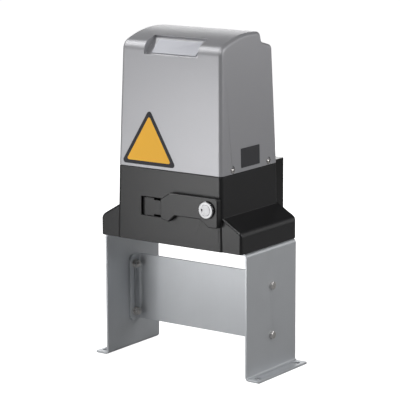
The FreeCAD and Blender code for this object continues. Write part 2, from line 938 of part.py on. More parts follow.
def front_label():
    """Triangular sticker on the lower left of the front face."""
    points = [(label_centre_x - label_width / 2, label_low, label_corner),
              (label_centre_x + label_width / 2, label_low, label_corner),
              (label_centre_x, label_low + label_height, label_corner)]
    origin = Vector(0, cover_front_y(seam), seam)
    return leaning(slab(points, "XZ", -label_thickness, 0), origin, math.atan(cover_front_draft))


def rating_plate():
    points = rectangle(plate_centre_y - plate_width / 2, plate_centre_y + plate_width / 2, plate_low,
                       plate_low + plate_height, plate_corner_round)
    plate = slab(points, "YZ", 0, label_thickness)
    lean = Rotation(Vector(0, 1, 0), -math.degrees(math.atan(cover_side_draft)))
    plate.Placement = Placement(Vector(cover_half_width(seam), 0, seam), lean)
    return plate


# Gear guard
def gear_guard():
    """Box over the pinion, open towards the base, with a slot in its top for the pinion."""
    low = base_low + guard_low
    high = guard_top()
    rear = base_rear + guard_depth
    box = block(-guard_half_width, guard_half_width, base_rear, rear, low, high)
    uprights = [Vector(x, rear, (low + high) / 2) for x in (-guard_half_width, guard_half_width)]
    box = fillet_near(box, guard_corner, uprights)
    inside = block(-guard_half_width + guard_wall, guard_half_width - guard_wall, base_rear - past,
                   rear - guard_wall, low + guard_wall, high - guard_wall)
    box = box.cut(inside)
    tip = pinion_module * (pinion_teeth / 2 + 1) + slot_clearance
    slot = block(output_x - tip, output_x + tip, base_rear - past, pinion_rear + slot_clearance,
                 high - 2 * guard_wall, high + past)
    box = box.cut(slot)
    for x, z in guard_screw_places():
        box = box.fuse(rod("Y", x, z, base_rear, rear - past, guard_boss_radius))
    for x, z in guard_screw_places():
        box = box.cut(rod("Y", x, z, base_rear - past, rear + past, cover_screw_radius + hole_clearance))
    return box.removeSplitter()


def guard_top():
    return base_top + guard_rise


def guard_screws():
    rear = base_rear + guard_depth
    screws = []
    for x, z in guard_screw_places():
        head = rod("Y", x, z, rear, rear + cover_screw_head, cover_screw_head_radius)
        screws.append(fuse(head, rod("Y", x, z, base_rear - base_wall, rear + past, cover_screw_radius)))
    return screws


# Teeth
def involute(angle):
    return math.tan(angle) - angle


def gear_wire(module, teeth, addendum, dedendum, backlash, level, turn):
    """Closed outline of an involute gear about the Y axis, a gap centred on +X when turn is 0."""
    radius = module * teeth / 2
    base = radius * math.cos(pressure_angle)
    tip = radius + addendum
    root = radius - dedendum
    half_tooth = (math.pi * module / 2 - backlash / 2) / 2 / radius + involute(pressure_angle)
    start = max(base, root)
    flank = []
    for step in range(4):
        reach = start + (tip - start) * step / 3
        flank.append((reach, half_tooth - involute(math.acos(min(1.0, base / reach)))))

    def spot(reach, angle):
        return Vector(reach * math.cos(angle), level, reach * math.sin(angle))

    edges = []
    for tooth in range(teeth):
        middle = turn + (tooth + 0.5) * 2 * math.pi / teeth
        rising = [spot(reach, middle - half) for reach, half in flank]
        falling = [spot(reach, middle + half) for reach, half in reversed(flank)]
        foot_in = spot(root, middle - flank[0][1])
        foot_out = spot(root, middle + flank[0][1])
        if root < base:
            edges.append(Part.LineSegment(foot_in, rising[0]).toShape())
        up = Part.BSplineCurve()
        up.interpolate(rising)
        down = Part.BSplineCurve()
        down.interpolate(falling)
        edges.append(up.toShape())
        edges.append(Part.Arc(rising[-1], spot(tip, middle), falling[0]).toShape())
        edges.append(down.toShape())
        if root < base:
            edges.append(Part.LineSegment(falling[-1], foot_out).toShape())
        next_middle = middle + 2 * math.pi / teeth
        following = spot(root, next_middle - flank[0][1])
        edges.append(Part.Arc(foot_out, spot(root, middle + math.pi / teeth), following).toShape())
    return Part.Wire(edges)


def worm_wheel():
    """Bronze wheel with teeth laid over to the worm's lead, and dog slots in its rear hub."""
    lead_slope = worm_lead / (2 * math.pi * worm_radius)
    lean = lead_slope * wheel_width / 2 / wheel_radius
    wheel_rear = wheel_front + wheel_width
    addendum = wheel_addendum * gear_module
    dedendum = wheel_dedendum * gear_module
    wires = [gear_wire(gear_module, wheel_teeth, addendum, dedendum, tooth_backlash, level, turn)
             for level, turn in ((wheel_front, lean), (wheel_rear, -lean))]
    rim = Part.makeLoft(wires, True, True)
    rim.translate(Vector(output_x, 0, output_z))
    for face_y in (wheel_front, wheel_rear - wheel_recess):
        rim = rim.cut(ring("Y", output_x, output_z, face_y, face_y + wheel_recess, wheel_radius - wheel_rim,
                           hub_radius))
    hub = rod("Y", output_x, output_z, wheel_y - hub_front, wheel_hub_rear, hub_radius)
    crown = rod("Y", output_x, output_z, wheel_rear - wheel_recess - past, wheel_hub_rear, dog_radius)
    wheel = rim.fuse(hub).fuse(crown)
    wheel = wheel.cut(rod("Y", output_x, output_z, wheel_y - hub_front - past, wheel_hub_rear + past,
                          shaft_radius + running_fit))
    return wheel.cut(dog_sectors(wheel_hub_rear - dog_tooth_length - dog_gap, wheel_hub_rear + past,
                                 dog_tooth_inner - dog_tooth_inset, dog_radius + past,
                                 dog_tooth_angle + dog_tooth_gap))


def dog_sectors(start, stop, inner, outer, angle):
    """Ring sectors shared by the dog's teeth and the slots that take them."""
    sectors = []
    for index in range(dog_teeth):
        wedge = Part.makeCylinder(outer, stop - start, Vector(0, 0, 0), Vector(0, 1, 0), angle)
        turn = Rotation(Vector(0, 1, 0), index * 360.0 / dog_teeth)
        wedge.Placement = Placement(Vector(output_x, start, output_z), turn).multiply(
            Placement(Vector(0, 0, 0), Rotation(Vector(0, 1, 0), -angle / 2))).multiply(wedge.Placement)
        sectors.append(wedge)
    whole = sectors[0].multiFuse(sectors[1:])
    return whole.cut(rod("Y", output_x, output_z, start - past, stop + past, inner))


def worm_shaft():
    """Motor shaft with the worm thread cut on its lower part."""
    length = worm_lead * worm_turns
    low = output_z - length / 2
    thread_half = (math.pi * gear_module / 2 - tooth_backlash / 2) / 2
    spread = math.tan(pressure_angle)
    inner = worm_neck_radius - worm_root_sink
    outer = worm_radius + gear_module
    half_in = thread_half + (worm_radius - inner) * spread
    half_out = thread_half - (outer - worm_radius) * spread
    corners = [Vector(inner, 0, -half_in), Vector(outer, 0, -half_out), Vector(outer, 0, half_out),
               Vector(inner, 0, half_in)]
    section = Part.makePolygon(corners + [corners[0]])
    helix = Part.makeHelix(worm_lead, length, worm_radius)
    thread = Part.Wire(helix).makePipeShell([section], True, True)
    thread.translate(Vector(worm_x, wheel_y, low))
    neck_low = low - 2 * half_in
    neck_high = low + length + 2 * half_in
    core = rod("Z", worm_x, wheel_y, neck_low, neck_high, worm_neck_radius)
    lower = rod("Z", worm_x, wheel_y, motor_bearing_low - past, neck_low + past, motor_shaft_radius)
    upper = rod("Z", worm_x, wheel_y, neck_high - past, motor_low + motor_length + end_cap - shaft_end_gap,
                motor_shaft_radius)
    return core.fuse(thread).fuse(lower).fuse(upper)


# Output shaft and release
def output_shaft():
    shaft = rod("Y", output_x, output_z, shaft_front_y, pinion_rear, shaft_radius)
    shaft = shaft.fuse(rod("Y", output_x, output_z, shoulder_front, shoulder_front + shoulder_width,
                           shoulder_radius))
    for start, stop in key_spans():
        shaft = shaft.cut(key(start, stop, 0))
    bolt_hole = rod("Y", output_x, output_z, pinion_rear - pinion_hole_depth, pinion_rear + past,
                    m8[0] + hole_clearance / 5)
    return shaft.cut(bolt_hole)


def key_spans():
    return ((dog_front + key_setback, dog_rear + clutch_travel), (pinion_front, pinion_rear))


def key(start, stop, gap):
    return block(output_x - key_width / 2 - gap, output_x + key_width / 2 + gap, start, stop,
                 output_z + shaft_radius - key_depth, output_z + shaft_radius + key_height + gap)


def shaft_keys():
    return [key(start, stop, 0) for start, stop in key_spans()]


def drive_pinion():
    dedendum = pinion_dedendum * pinion_module
    wire = gear_wire(pinion_module, pinion_teeth, pinion_module, dedendum, pinion_backlash, pinion_front, 0)
    pinion = Part.Face(wire).extrude(Vector(0, pinion_width, 0))
    pinion.translate(Vector(output_x, 0, output_z))
    pinion = pinion.cut(rod("Y", output_x, output_z, pinion_front - past, pinion_rear + past, shaft_radius))
    return pinion.cut(key(pinion_front - past, pinion_rear + past, 0))


def pinion_bolt():
    seat = pinion_rear + pinion_washer
    washer = rod("Y", output_x, output_z, pinion_rear, seat, pinion_washer_radius)
    head = hexagon("Y", output_x, output_z, seat, seat + pinion_head, m8[1])
    shank = rod("Y", output_x, output_z, pinion_rear - pinion_shank, pinion_rear + past, m8[0])
    return fuse(washer, head, shank)


def bearing(axis, a, b, start, width, outer, inner):
    """Sealed ball bearing: two races with a sunk seal between them."""
    body = ring(axis, a, b, start, start + width, outer, inner)
    race = (outer - inner) * race_share
    for y0, y1 in ((start - past, start + seal_sink), (start + width - seal_sink, start + width + past)):
        body = body.cut(ring(axis, a, b, y0, y1, outer - race, inner + race))
    return body


def clutch_dog():
    """Sliding sleeve with dog teeth, a fork groove and a keyway."""
    sleeve = rod("Y", output_x, output_z, dog_front, dog_rear, dog_radius)
    groove = ring("Y", output_x, output_z, groove_front, groove_front + groove_width, dog_radius + past,
                  groove_radius)
    sleeve = sleeve.cut(groove)
    teeth_front = dog_front - dog_tooth_length
    teeth = dog_sectors(teeth_front, dog_front + past, dog_tooth_inner, dog_radius - dog_tooth_inset,
                        dog_tooth_angle)
    sleeve = sleeve.fuse(teeth)
    sleeve = sleeve.cut(rod("Y", output_x, output_z, teeth_front - past, dog_rear + past,
                            shaft_radius + running_fit))
    return sleeve.cut(key(teeth_front - past, dog_rear + past, key_gap))


def clutch_spring():
    """Compression spring against the shaft's shoulder, at its pressed length."""
    rise = shoulder_front - spring_front - spring_wire
    stations = spring_turns * spring_steps
    wires = []
    for station in range(stations + 1):
        turn = station * 2 * math.pi * spring_turns / stations
        outward = Vector(math.cos(turn), 0, math.sin(turn))
        along = Vector(0, 1, 0)
        centre = Vector(output_x, spring_front + spring_wire / 2 + rise * station / stations, output_z)
        centre += outward * spring_radius
        corners = [centre + outward * (spring_wire / 2 * math.cos(side * math.pi / 3))
                   + along * (spring_wire / 2 * math.sin(side * math.pi / 3)) for side in range(6)]
        wires.append(Part.makePolygon(corners + [corners[0]]))
    return Part.makeLoft(wires, True, True)


def release_fork():
    """Push rod with a cranked fork in the groove of the clutch dog."""
    plane_y = groove_front + fork_gap
    tip_y = hinge_y + cam_small_radius + fork_tip_gap
    push = rod("Y", hinge_x, fork_rod_z, tip_y + fork_tip_length, base_rear - base_wall - fork_rod_guide / 2,
               fork_rod_radius)
    nose = rod("Y", hinge_x, fork_rod_z, tip_y + fork_tip_radius, tip_y + fork_tip_length + past,
               fork_tip_radius)
    ball = Part.makeSphere(fork_tip_radius, Vector(hinge_x, tip_y + fork_tip_radius, fork_rod_z))
    inner = groove_radius + fork_gap
    arch = ring("Y", output_x, output_z, plane_y, plane_y + fork_thickness, inner + fork_ring_width, inner)
    reach = Vector(output_x - hinge_x, 0, output_z - fork_rod_z)
    side = Vector(reach.z, 0, -reach.x).normalize()
    forward = Vector(reach.x, 0, reach.z).normalize()
    centre = Vector(output_x, plane_y, output_z)
    far = 3 * dog_radius
    keep_points = [centre + side * far, centre - side * far, centre - side * far - forward * far,
                   centre + side * far - forward * far]
    keep = Part.Face(Part.makePolygon(keep_points + [keep_points[0]])).extrude(Vector(0, fork_thickness, 0))
    arch = arch.common(keep)
    start = Vector(hinge_x, plane_y, fork_rod_z)
    stop = start + forward * (reach.Length - inner - fork_ring_width / 2)
    half = side * (fork_rod_radius + fork_web_margin)
    web_points = [start + half, stop + half, stop - half, start - half, start + half]
    web = Part.Face(Part.makePolygon(web_points)).extrude(Vector(0, fork_thickness, 0))
    hub = rod("Y", hinge_x, fork_rod_z, plane_y, plane_y + fork_thickness, fork_rod_radius + fork_hub_wall)
    return fuse(push, nose, ball, arch, web, hub)


# Lever and lock
def arm_outline(inset):
    """Front outline of the lever arm, drawn in by an inset."""
    left = arm_left + inset
    right = arm_right - inset
    top = arm_top - inset
    low = arm_step_low + inset
    upper_low = arm_bottom + inset
    shoulder_x = arm_left + arm_shoulder_run + inset / 2
    notch_x = arm_left + arm_notch - inset / 2
    heel_x = arm_right - arm_heel + inset / 2
    return [
        (left, low + arm_slope), (left, arm_top - arm_shoulder - inset / 2),
        (shoulder_x, top, arm_inner_corner), (right, top, arm_corner), (right, low, arm_corner),
        (heel_x, low, arm_corner), (heel_x - arm_heel_run, upper_low, arm_corner),
        (notch_x + arm_notch_run, upper_low, arm_inner_corner), (notch_x, low, arm_inner_corner),
    ]


def spiral_cam():
    """Cam on the hinge barrel that pushes the rod back evenly as the lever opens."""
    points = [Vector(hinge_x, hinge_y, 0)]
    flank = []
    steps = 6
    for step in range(steps + 1):
        angle = math.pi / 2 + step * math.pi / 2 / steps
        reach = cam_small_radius + clutch_travel * step / steps
        flank.append(Vector(hinge_x + reach * math.cos(angle), hinge_y + reach * math.sin(angle), 0))
    curve = Part.BSplineCurve()
    curve.interpolate(flank)
    edges = [Part.LineSegment(points[0], flank[0]).toShape(), curve.toShape(),
             Part.LineSegment(flank[-1], points[0]).toShape()]
    cam = Part.Face(Part.Wire(edges)).extrude(Vector(0, 0, cam_thickness))
    cam.translate(Vector(0, 0, fork_rod_z - cam_thickness / 2))
    return cam


def release_lever():
    arm = slab(arm_outline(0), "XZ", arm_face, arm_back)
    front_edges = [edge for edge in arm.Edges if edge.BoundBox.YMax < arm_face + 0.01]
    arm = arm.makeChamfer(arm_edge, front_edges)
    wall_back = arm_face + arm_front_wall
    hollow = slab(arm_outline(arm_side_wall), "XZ", wall_back, arm_back + past)
    tab_low = window_low + window_gap
    tab_high = window_high - window_gap
    tab_front = hinge_y - hinge_barrel_radius
    tab_back = tab_front + tab_thickness
    pad = block(arm_left, window_right - window_gap, wall_back - past, tab_back, tab_low + tab_notch,
                tab_high - tab_notch)
    lock_pad = rod("Y", lock_x, lock_z, wall_back - past, wall_back + lock_pad_height,
                   lock_body_radius + lock_pad_wall)
    arm = arm.cut(hollow).fuse(lock_pad).fuse(pad)
    barrel = rod("Z", hinge_x, hinge_y, tab_low, tab_high, hinge_barrel_radius)
    tab = block(hinge_x, tab_notch_x, tab_front, tab_back, tab_low, tab_high)
    neck = block(tab_notch_x, arm_left + past, tab_front, tab_back, tab_low + tab_notch, tab_high - tab_notch)
    lever = arm.fuse(barrel).fuse(tab).fuse(neck).fuse(spiral_cam())
    lever = lever.cut(rod("Z", hinge_x, hinge_y, tab_low - past, tab_high + past,
                          hinge_pin_radius + running_fit))
    lever = lever.cut(rod("Y", lock_x, lock_z, arm_face - past, arm_back + past, lock_body_radius))
    return lever.removeSplitter()


def lever_hinge_pin():
    return rod("Z", hinge_x, hinge_y, window_low - hinge_lug_height, window_high + hinge_lug_height,
               hinge_pin_radius)


def lock_body_end():
    return base_front + front_draft / 2 + base_wall + lock_cam_gap


def lock_body():
    front = arm_face - lock_rim
    rim = rod("Y", lock_x, lock_z, front, arm_face, lock_rim_radius)
    rim = fillet_near(rim, lock_rim_round, [Vector(lock_x + lock_rim_radius, front, lock_z)])
    barrel = rod("Y", lock_x, lock_z, arm_face - past, lock_body_end(), lock_body_radius)
    bore = rod("Y", lock_x, lock_z, front - past, lock_body_end() + past, lock_plug_radius + running_fit)
    return fuse(rim, barrel).cut(bore)


def lock_plug():
    """Turning core of the lock with a small keyhole near its edge."""
    front = arm_face - lock_rim - lock_proud
    rear = lock_body_end() + lock_cam_play + lock_cam_thickness + lock_proud
    plug = rod("Y", lock_x, lock_z, front, rear, lock_plug_radius)
    hole_x = lock_x - keyhole_offset
    keyhole = block(hole_x - keyhole_width / 2, hole_x + keyhole_width / 2, front - past,
                    front + keyhole_depth, lock_z - keyhole_height / 2, lock_z + keyhole_height / 2)
    return plug.cut(keyhole)


def lock_cam():
    """Tongue on the rear end of the plug that catches behind the base's front wall."""
    start = lock_body_end() + lock_cam_play
    stop = start + lock_cam_thickness
    half = lock_cam_width / 2
    tongue = [(lock_x - half, lock_z), (lock_x + half, lock_z),
              (lock_x + half, lock_z - lock_cam_length, lock_tongue_round),
              (lock_x - half, lock_z - lock_cam_length, lock_tongue_round)]
    cam = slab(tongue, "XZ", start, stop)
    cam = cam.fuse(rod("Y", lock_x, lock_z, start, stop, lock_plug_radius + lock_cam_hub))
    return cam.cut(rod("Y", lock_x, lock_z, start - past, stop + past, lock_plug_radius))


def lock_nut_piece():
    start = arm_face + arm_front_wall + lock_pad_height
    nut = hexagon("Y", lock_x, lock_z, start, start + lock_nut, lock_nut_across)
    return nut.cut(rod("Y", lock_x, lock_z, start - past, start + lock_nut + past,
                       lock_body_radius + running_fit))


# Motor
def motor_plate_piece():
    """Lid of the gear case that carries the motor and its upper worm bearing."""
    lid = rectangle(case_left, case_right, case_front, case_rear, plate_corner)
    plate = slab(lid, "XY", case_top, motor_low)
    plate = plate.fuse(rod("Z", worm_x, wheel_y, case_top, motor_low, motor_flange_radius))
    boss = rod("Z", worm_x, wheel_y, case_top - plate_boss_drop, case_top + past,
               motor_bearing_radius + bearing_hub_wall)
    plate = plate.fuse(boss)
    for angle in tie_bolt_angles():
        x, y = tie_bolt_place(angle)
        plate = plate.fuse(rod("Z", x, y, case_top, motor_low, tie_bolt_radius + tie_boss_wall))
    plate = plate.cut(rod("Z", worm_x, wheel_y, plate_bearing_low(), motor_low + past, motor_bearing_radius))
    plate = plate.cut(rod("Z", worm_x, wheel_y, case_top - plate_boss_drop - past, motor_low,
                          motor_shaft_radius + shaft_clearance))
    for angle in tie_bolt_angles():
        x, y = tie_bolt_place(angle)
        plate = plate.cut(rod("Z", x, y, case_top - past, motor_low + past, tie_bolt_radius + running_fit))
    for x, y in plate_screw_places():
        plate = plate.cut(rod("Z", x, y, case_top - past, motor_low + past,
                              cover_screw_radius + hole_clearance))
    return plate.removeSplitter()


def plate_bearing_low():
    return motor_low - bearing_shelf - motor_bearing_width


def plate_screw_places():
    left = case_left + plate_screw_inset
    right = case_right - plate_screw_inset
    front = case_front + plate_screw_inset
    rear = case_rear - plate_screw_inset
    return [(left, front), (output_x, front), (left, rear), (right, rear)]


def plate_screws():
    across, height = plate_screw_head
    screws = []
    for x, y in plate_screw_places():
        head = hexagon("Z", x, y, motor_low, motor_low + height, across)
        shank = rod("Z", x, y, case_top - plate_screw_depth(), motor_low + past, cover_screw_radius)
        screws.append(fuse(head, shank))
    return screws


def tie_bolt_angles():
    return [45, 135, 225, 315]


def tie_bolt_place(angle):
    turn = math.radians(angle)
    return worm_x + tie_bolt_circle * math.cos(turn), wheel_y + tie_bolt_circle * math.sin(turn)


def motor_shell():
    """Finned aluminium tube of the motor."""
    top = motor_low + motor_length
    shell = rod("Z", worm_x, wheel_y, motor_low, top, motor_radius)
    for index in range(fin_count):
        fin = Part.makeBox(motor_radius + fin_height, fin_thickness, motor_length - 2 * fin_margin,
                           Vector(0, -fin_thickness / 2, fin_margin))
        fin.rotate(Vector(0, 0, 0), Vector(0, 0, 1), (index + 0.5) * 360.0 / fin_count)
        fin.translate(Vector(worm_x, wheel_y, motor_low))
        shell = shell.fuse(fin)
    shell = shell.cut(rod("Z", worm_x, wheel_y, motor_low - past, top + past, motor_radius - motor_shell_wall))
    for angle in tie_bolt_angles():
        x, y = tie_bolt_place(angle)
        shell = shell.cut(rod("Z", x, y, motor_low - past, top + past, tie_bolt_radius + hole_clearance))
    return shell


def end_cap_piece():
    low = motor_low + motor_length
    high = low + end_cap
    seat = low + end_cap / 2
    cap = rod("Z", worm_x, wheel_y, low, high, motor_radius)
    cap = fillet_near(cap, end_cap_round, [Vector(worm_x + motor_radius, wheel_y, high)])
    for angle in tie_bolt_angles():
        x, y = tie_bolt_place(angle)
        cap = cap.fuse(rod("Z", x, y, low, seat, tie_bolt_radius + cap_boss_wall))
    for angle in tie_bolt_angles():
        x, y = tie_bolt_place(angle)
        cap = cap.cut(rod("Z", x, y, low - past, high, tie_bolt_radius + running_fit))
        cap = cap.cut(rod("Z", x, y, seat, high + past, 2 * tie_bolt_radius))
    bearing_seat = rod("Z", worm_x, wheel_y, low - past, low + motor_bearing_width, motor_bearing_radius)
    return cap.cut(bearing_seat).removeSplitter()


def tie_bolts():
    across, height = tie_bolt_head
    bolts = []
    seat = motor_low + motor_length + end_cap / 2
    for angle in tie_bolt_angles():
        x, y = tie_bolt_place(angle)
        head = hexagon("Z", x, y, seat, seat + height, across)
        bolts.append(fuse(head, rod("Z", x, y, case_top + tie_bolt_inset, seat + past, tie_bolt_radius)))
    return bolts


def stator_core():
    """Laminated ring with slots for the windings."""
    low = motor_low + stator_bottom
    inner = rotor_radius + air_gap
    core = ring("Z", worm_x, wheel_y, low, low + stator_length, motor_radius - motor_shell_wall, inner)
    for index in range(slot_count):
        slot = block(inner + slot_start, inner + slot_start + slot_depth, -slot_width / 2, slot_width / 2,
                     low - past, low + stator_length + past)
        core = core.cut(around_motor(slot, index))
    return core


def around_motor(shape, index):
    """Turn a shape drawn at the origin to its slot and set it on the motor's axis."""
    shape.rotate(Vector(0, 0, 0), Vector(0, 0, 1), index * 360.0 / slot_count)
    shape.translate(Vector(worm_x, wheel_y, 0))
    return shape


def stator_windings():
    """Two end coils with the slot bars that join them."""
    low = motor_low + stator_bottom
    inner = rotor_radius + air_gap + slot_start
    outer = inner + slot_depth
    lower = ring("Z", worm_x, wheel_y, low - end_coil, low, outer, inner)
    upper = ring("Z", worm_x, wheel_y, low + stator_length, low + stator_length + end_coil, outer, inner)
    winding = lower.fuse(upper)
    half = slot_width / 2 - slot_liner
    for index in range(slot_count):
        bar = block(inner + slot_liner, outer - slot_liner, -half, half, low - past, low + stator_length + past)
        winding = winding.fuse(around_motor(bar, index))
    return winding


def rotor_core():
    low = motor_low + stator_bottom
    return ring("Z", worm_x, wheel_y, low, low + stator_length, rotor_radius, motor_shaft_radius)


def motor_bearings():
    inner = motor_shaft_radius + running_fit
    places = (motor_bearing_low, plate_bearing_low(), motor_low + motor_length)
    return [bearing("Z", worm_x, wheel_y, low, motor_bearing_width, motor_bearing_radius, inner)
            for low in places]


# Electrics
def board_bracket():
    """Bent sheet that stands on the motor plate and holds the control board."""
    back = bracket_x + bracket_thickness
    foot_top = motor_low + bracket_thickness
    foot_x = bracket_x + bracket_foot
    top = motor_low + bracket_height
    section = [(bracket_x, motor_low), (foot_x, motor_low), (foot_x, foot_top), (back, foot_top, bracket_bend),
               (back, top), (bracket_x, top)]
    bracket = slab(section, "XZ", bracket_front, bracket_rear)
    motor_top = motor_low + motor_length + end_cap + motor_clearance
    motor_room = rod("Z", worm_x, wheel_y, motor_low - past, motor_top,
                     motor_radius + fin_height + motor_clearance)
    return bracket.cut(motor_room)


def standoff_places():
    low = motor_low + board_low + standoff_inset
    high = motor_low + board_low + board_height - standoff_inset
    front = bracket_front + standoff_inset
    rear = bracket_rear - standoff_inset
    return [(y, z) for y in (front, rear) for z in (low, high)]


def control_board():
    """Printed board on four standoffs with its main parts."""
    face = bracket_x - board_standoff
    out = face - board_thickness
    low = motor_low + board_low
    board = block(out, face, bracket_front + board_edge, bracket_rear - board_edge, low, low + board_height)
    for y, z in standoff_places():
        board = board.fuse(rod("X", y, z, face - board_thickness / 2, bracket_x, standoff_radius))
    for index in range(2):
        board = board.fuse(on_board(out, bracket_front + relay_inset + index * relay_pitch, low + relay_low,
                                    relay_size))
    board = board.fuse(on_board(out, bracket_front + switch_inset, low + switch_low, switch_size))
    holder_low = low + fuse_low
    holder = rod("Z", out - fuse_radius, bracket_rear - fuse_inset, holder_low, holder_low + fuse_length,
                 fuse_radius)
    return board.fuse(holder)


def on_board(face, y, z, size):
    """Block that stands out from the board, from its near lower corner."""
    return block(face - size[0], face, y, y + size[1], z, z + size[2])


def terminal_block():
    face = bracket_x - board_standoff - board_thickness
    front = bracket_front + terminal_inset
    high = motor_low + board_low + board_height - terminal_drop
    low = high - terminal_height
    outer = face - terminal_depth
    strip = block(outer, face, front, front + terminal_ways * terminal_pitch, low, high)
    for index in range(terminal_ways):
        y = front + (index + 0.5) * terminal_pitch
        strip = strip.cut(rod("X", y, (low + high) / 2, outer - past, outer + terminal_hole_depth,
                              terminal_hole_radius))
    return strip


def transformer():
    width, depth, height = transformer_size
    right = bracket_x - transformer_gap
    left = right - width
    front = bracket_front + transformer_inset
    middle = front + depth / 2
    yoke_low = motor_low + transformer_yoke
    yoke_high = motor_low + height - transformer_yoke
    core = block(left, right, front, front + depth, motor_low, motor_low + height)
    window = block(left - past, right + past, middle - coil_window / 2, middle + coil_window / 2, yoke_low,
                   yoke_high)
    coil_section = rectangle(left + coil_inset, right - coil_inset, middle - coil_width / 2,
                             middle + coil_width / 2, coil_corner)
    coil = slab(coil_section, "XY", yoke_low, yoke_high)
    return core.cut(window).fuse(coil)


def run_capacitor():
    x = bracket_x - capacitor_radius - transformer_gap
    y = bracket_rear - capacitor_radius
    top = motor_low + capacitor_height
    can = rod("Z", x, y, motor_low, top, capacitor_radius)
    can = fillet_near(can, capacitor_round, [Vector(x + capacitor_radius, y, top)])
    thickness, width, height = lug_size
    for lug_y in (y - lug_pitch / 2, y + lug_pitch / 2):
        can = can.fuse(block(x - thickness / 2, x + thickness / 2, lug_y - width / 2, lug_y + width / 2,
                             top - past, top + height))
    return can


def limit_sensor():
    """Magnetic limit sensor on the lid's rear edge, close behind the cover's rear wall."""
    width, depth, height = sensor_size
    rear = case_rear - sensor_gap
    points = rectangle(sensor_left, sensor_left + width, rear - depth, rear, sensor_round)
    return slab(points, "XY", motor_low, motor_low + height)


def cable_gland():
    """Gland in the floor of the base for the supply lead."""
    floor_top = base_low + base_wall
    body = rod("Z", gland_x, gland_y, base_low - gland_reach, floor_top + gland_reach,
               gland_radius - gland_play)
    nut = hexagon("Z", gland_x, gland_y, base_low - gland_nut_height, base_low, gland_nut)
    lock = hexagon("Z", gland_x, gland_y, floor_top, floor_top + gland_lock_height, gland_nut)
    bore = rod("Z", gland_x, gland_y, base_low - gland_reach - past, floor_top + gland_reach + past,
               gland_bore_radius)
    return fuse(body, nut, lock).cut(bore)


def main():
    os.makedirs("parts", exist_ok=True)
    right_leg = leg()
    save("right_leg", right_leg)
    save("left_leg", mirrored(right_leg))
    save("cross_plate", cross_plate())
    save("cross_plate_bolts", *cross_bolts())
    save("cross_plate_nuts", *cross_nuts())
    save("base_bolts", *base_bolts())
    save("base_washers", *base_washers())
    save("base_housing", base_housing())
    save("cover_gasket", cover_gasket())
    save("cover_shell", cover_shell())
    save("cover_screws", *cover_screws())
    save("badge_plate", badge_plate())
    save("front_label", front_label())
    save("rating_plate", rating_plate())
    save("gear_guard", gear_guard())
    save("guard_screws", *guard_screws())
    save("worm_wheel", worm_wheel())
    save("worm_shaft", worm_shaft())
    save("output_shaft", output_shaft())
    save("shaft_keys", *shaft_keys())
    save("drive_pinion", drive_pinion())
    save("pinion_bolt", pinion_bolt())
    inner = shaft_radius + running_fit
    save("shaft_bearings",
         bearing("Y", output_x, output_z, front_bearing_y, bearing_width, bearing_radius, inner),
         bearing("Y", output_x, output_z, rear_bearing_y, bearing_width, bearing_radius, inner))
    save("shaft_seal", ring("Y", output_x, output_z, rear_bearing_y + bearing_width,
                            rear_bearing_y + bearing_width + seal_width, bearing_radius, inner))
    save("clutch_dog", clutch_dog())
    save("clutch_spring", clutch_spring())
    save("release_fork", release_fork())
    save("release_lever", release_lever())
    save("lever_hinge_pin", lever_hinge_pin())
    save("lock_body", lock_body())
    save("lock_plug", lock_plug())
    save("lock_cam", lock_cam())
    save("lock_nut", lock_nut_piece())
    save("motor_plate", motor_plate_piece())
    save("motor_plate_screws", *plate_screws())
    save("motor_shell", motor_shell())
    save("motor_end_cap", end_cap_piece())
    save("motor_tie_bolts", *tie_bolts())
    save("stator_core", stator_core())
    save("stator_windings", stator_windings())
    save("rotor_core", rotor_core())
    save("motor_bearings", *motor_bearings())
    save("board_bracket", board_bracket())
    save("control_board", control_board())
    save("terminal_block", terminal_block())
    save("transformer", transformer())
    save("run_capacitor", run_capacitor())
    save("limit_sensor", limit_sensor())
    save("cable_gland", cable_gland())


main()
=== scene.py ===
"""Finish, fasteners, labels and studio stage of the sliding gate motor, laid out as a Blender add-on."""

import json
import math

import bmesh
import bpy
from bpy.props import FloatProperty, FloatVectorProperty, IntProperty, PointerProperty
from mathutils import Matrix, Vector


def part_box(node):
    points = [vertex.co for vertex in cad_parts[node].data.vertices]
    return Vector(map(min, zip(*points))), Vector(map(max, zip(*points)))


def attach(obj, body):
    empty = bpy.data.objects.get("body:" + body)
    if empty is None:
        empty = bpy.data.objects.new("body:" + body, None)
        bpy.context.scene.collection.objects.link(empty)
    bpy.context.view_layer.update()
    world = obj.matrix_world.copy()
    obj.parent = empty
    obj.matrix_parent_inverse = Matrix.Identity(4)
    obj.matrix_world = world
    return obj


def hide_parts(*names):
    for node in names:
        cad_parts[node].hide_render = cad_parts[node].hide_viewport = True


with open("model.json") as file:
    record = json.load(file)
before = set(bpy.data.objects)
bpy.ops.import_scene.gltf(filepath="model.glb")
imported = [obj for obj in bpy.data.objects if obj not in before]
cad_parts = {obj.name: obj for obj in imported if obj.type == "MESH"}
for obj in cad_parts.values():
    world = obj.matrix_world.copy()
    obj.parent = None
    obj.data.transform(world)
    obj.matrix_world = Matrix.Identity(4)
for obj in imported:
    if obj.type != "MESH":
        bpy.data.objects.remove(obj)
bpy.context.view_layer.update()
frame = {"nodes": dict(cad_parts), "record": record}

bl_info = {
    "name": "Sliding Gate Motor",
    "version": (1, 0, 0),
    "blender": (4, 5, 0),
    "location": "View3D > Sidebar > Gate Motor",
    "description": "Dresses the sliding gate motor: cover, base, stand, lever, drive and stage",
    "category": "Object",
}

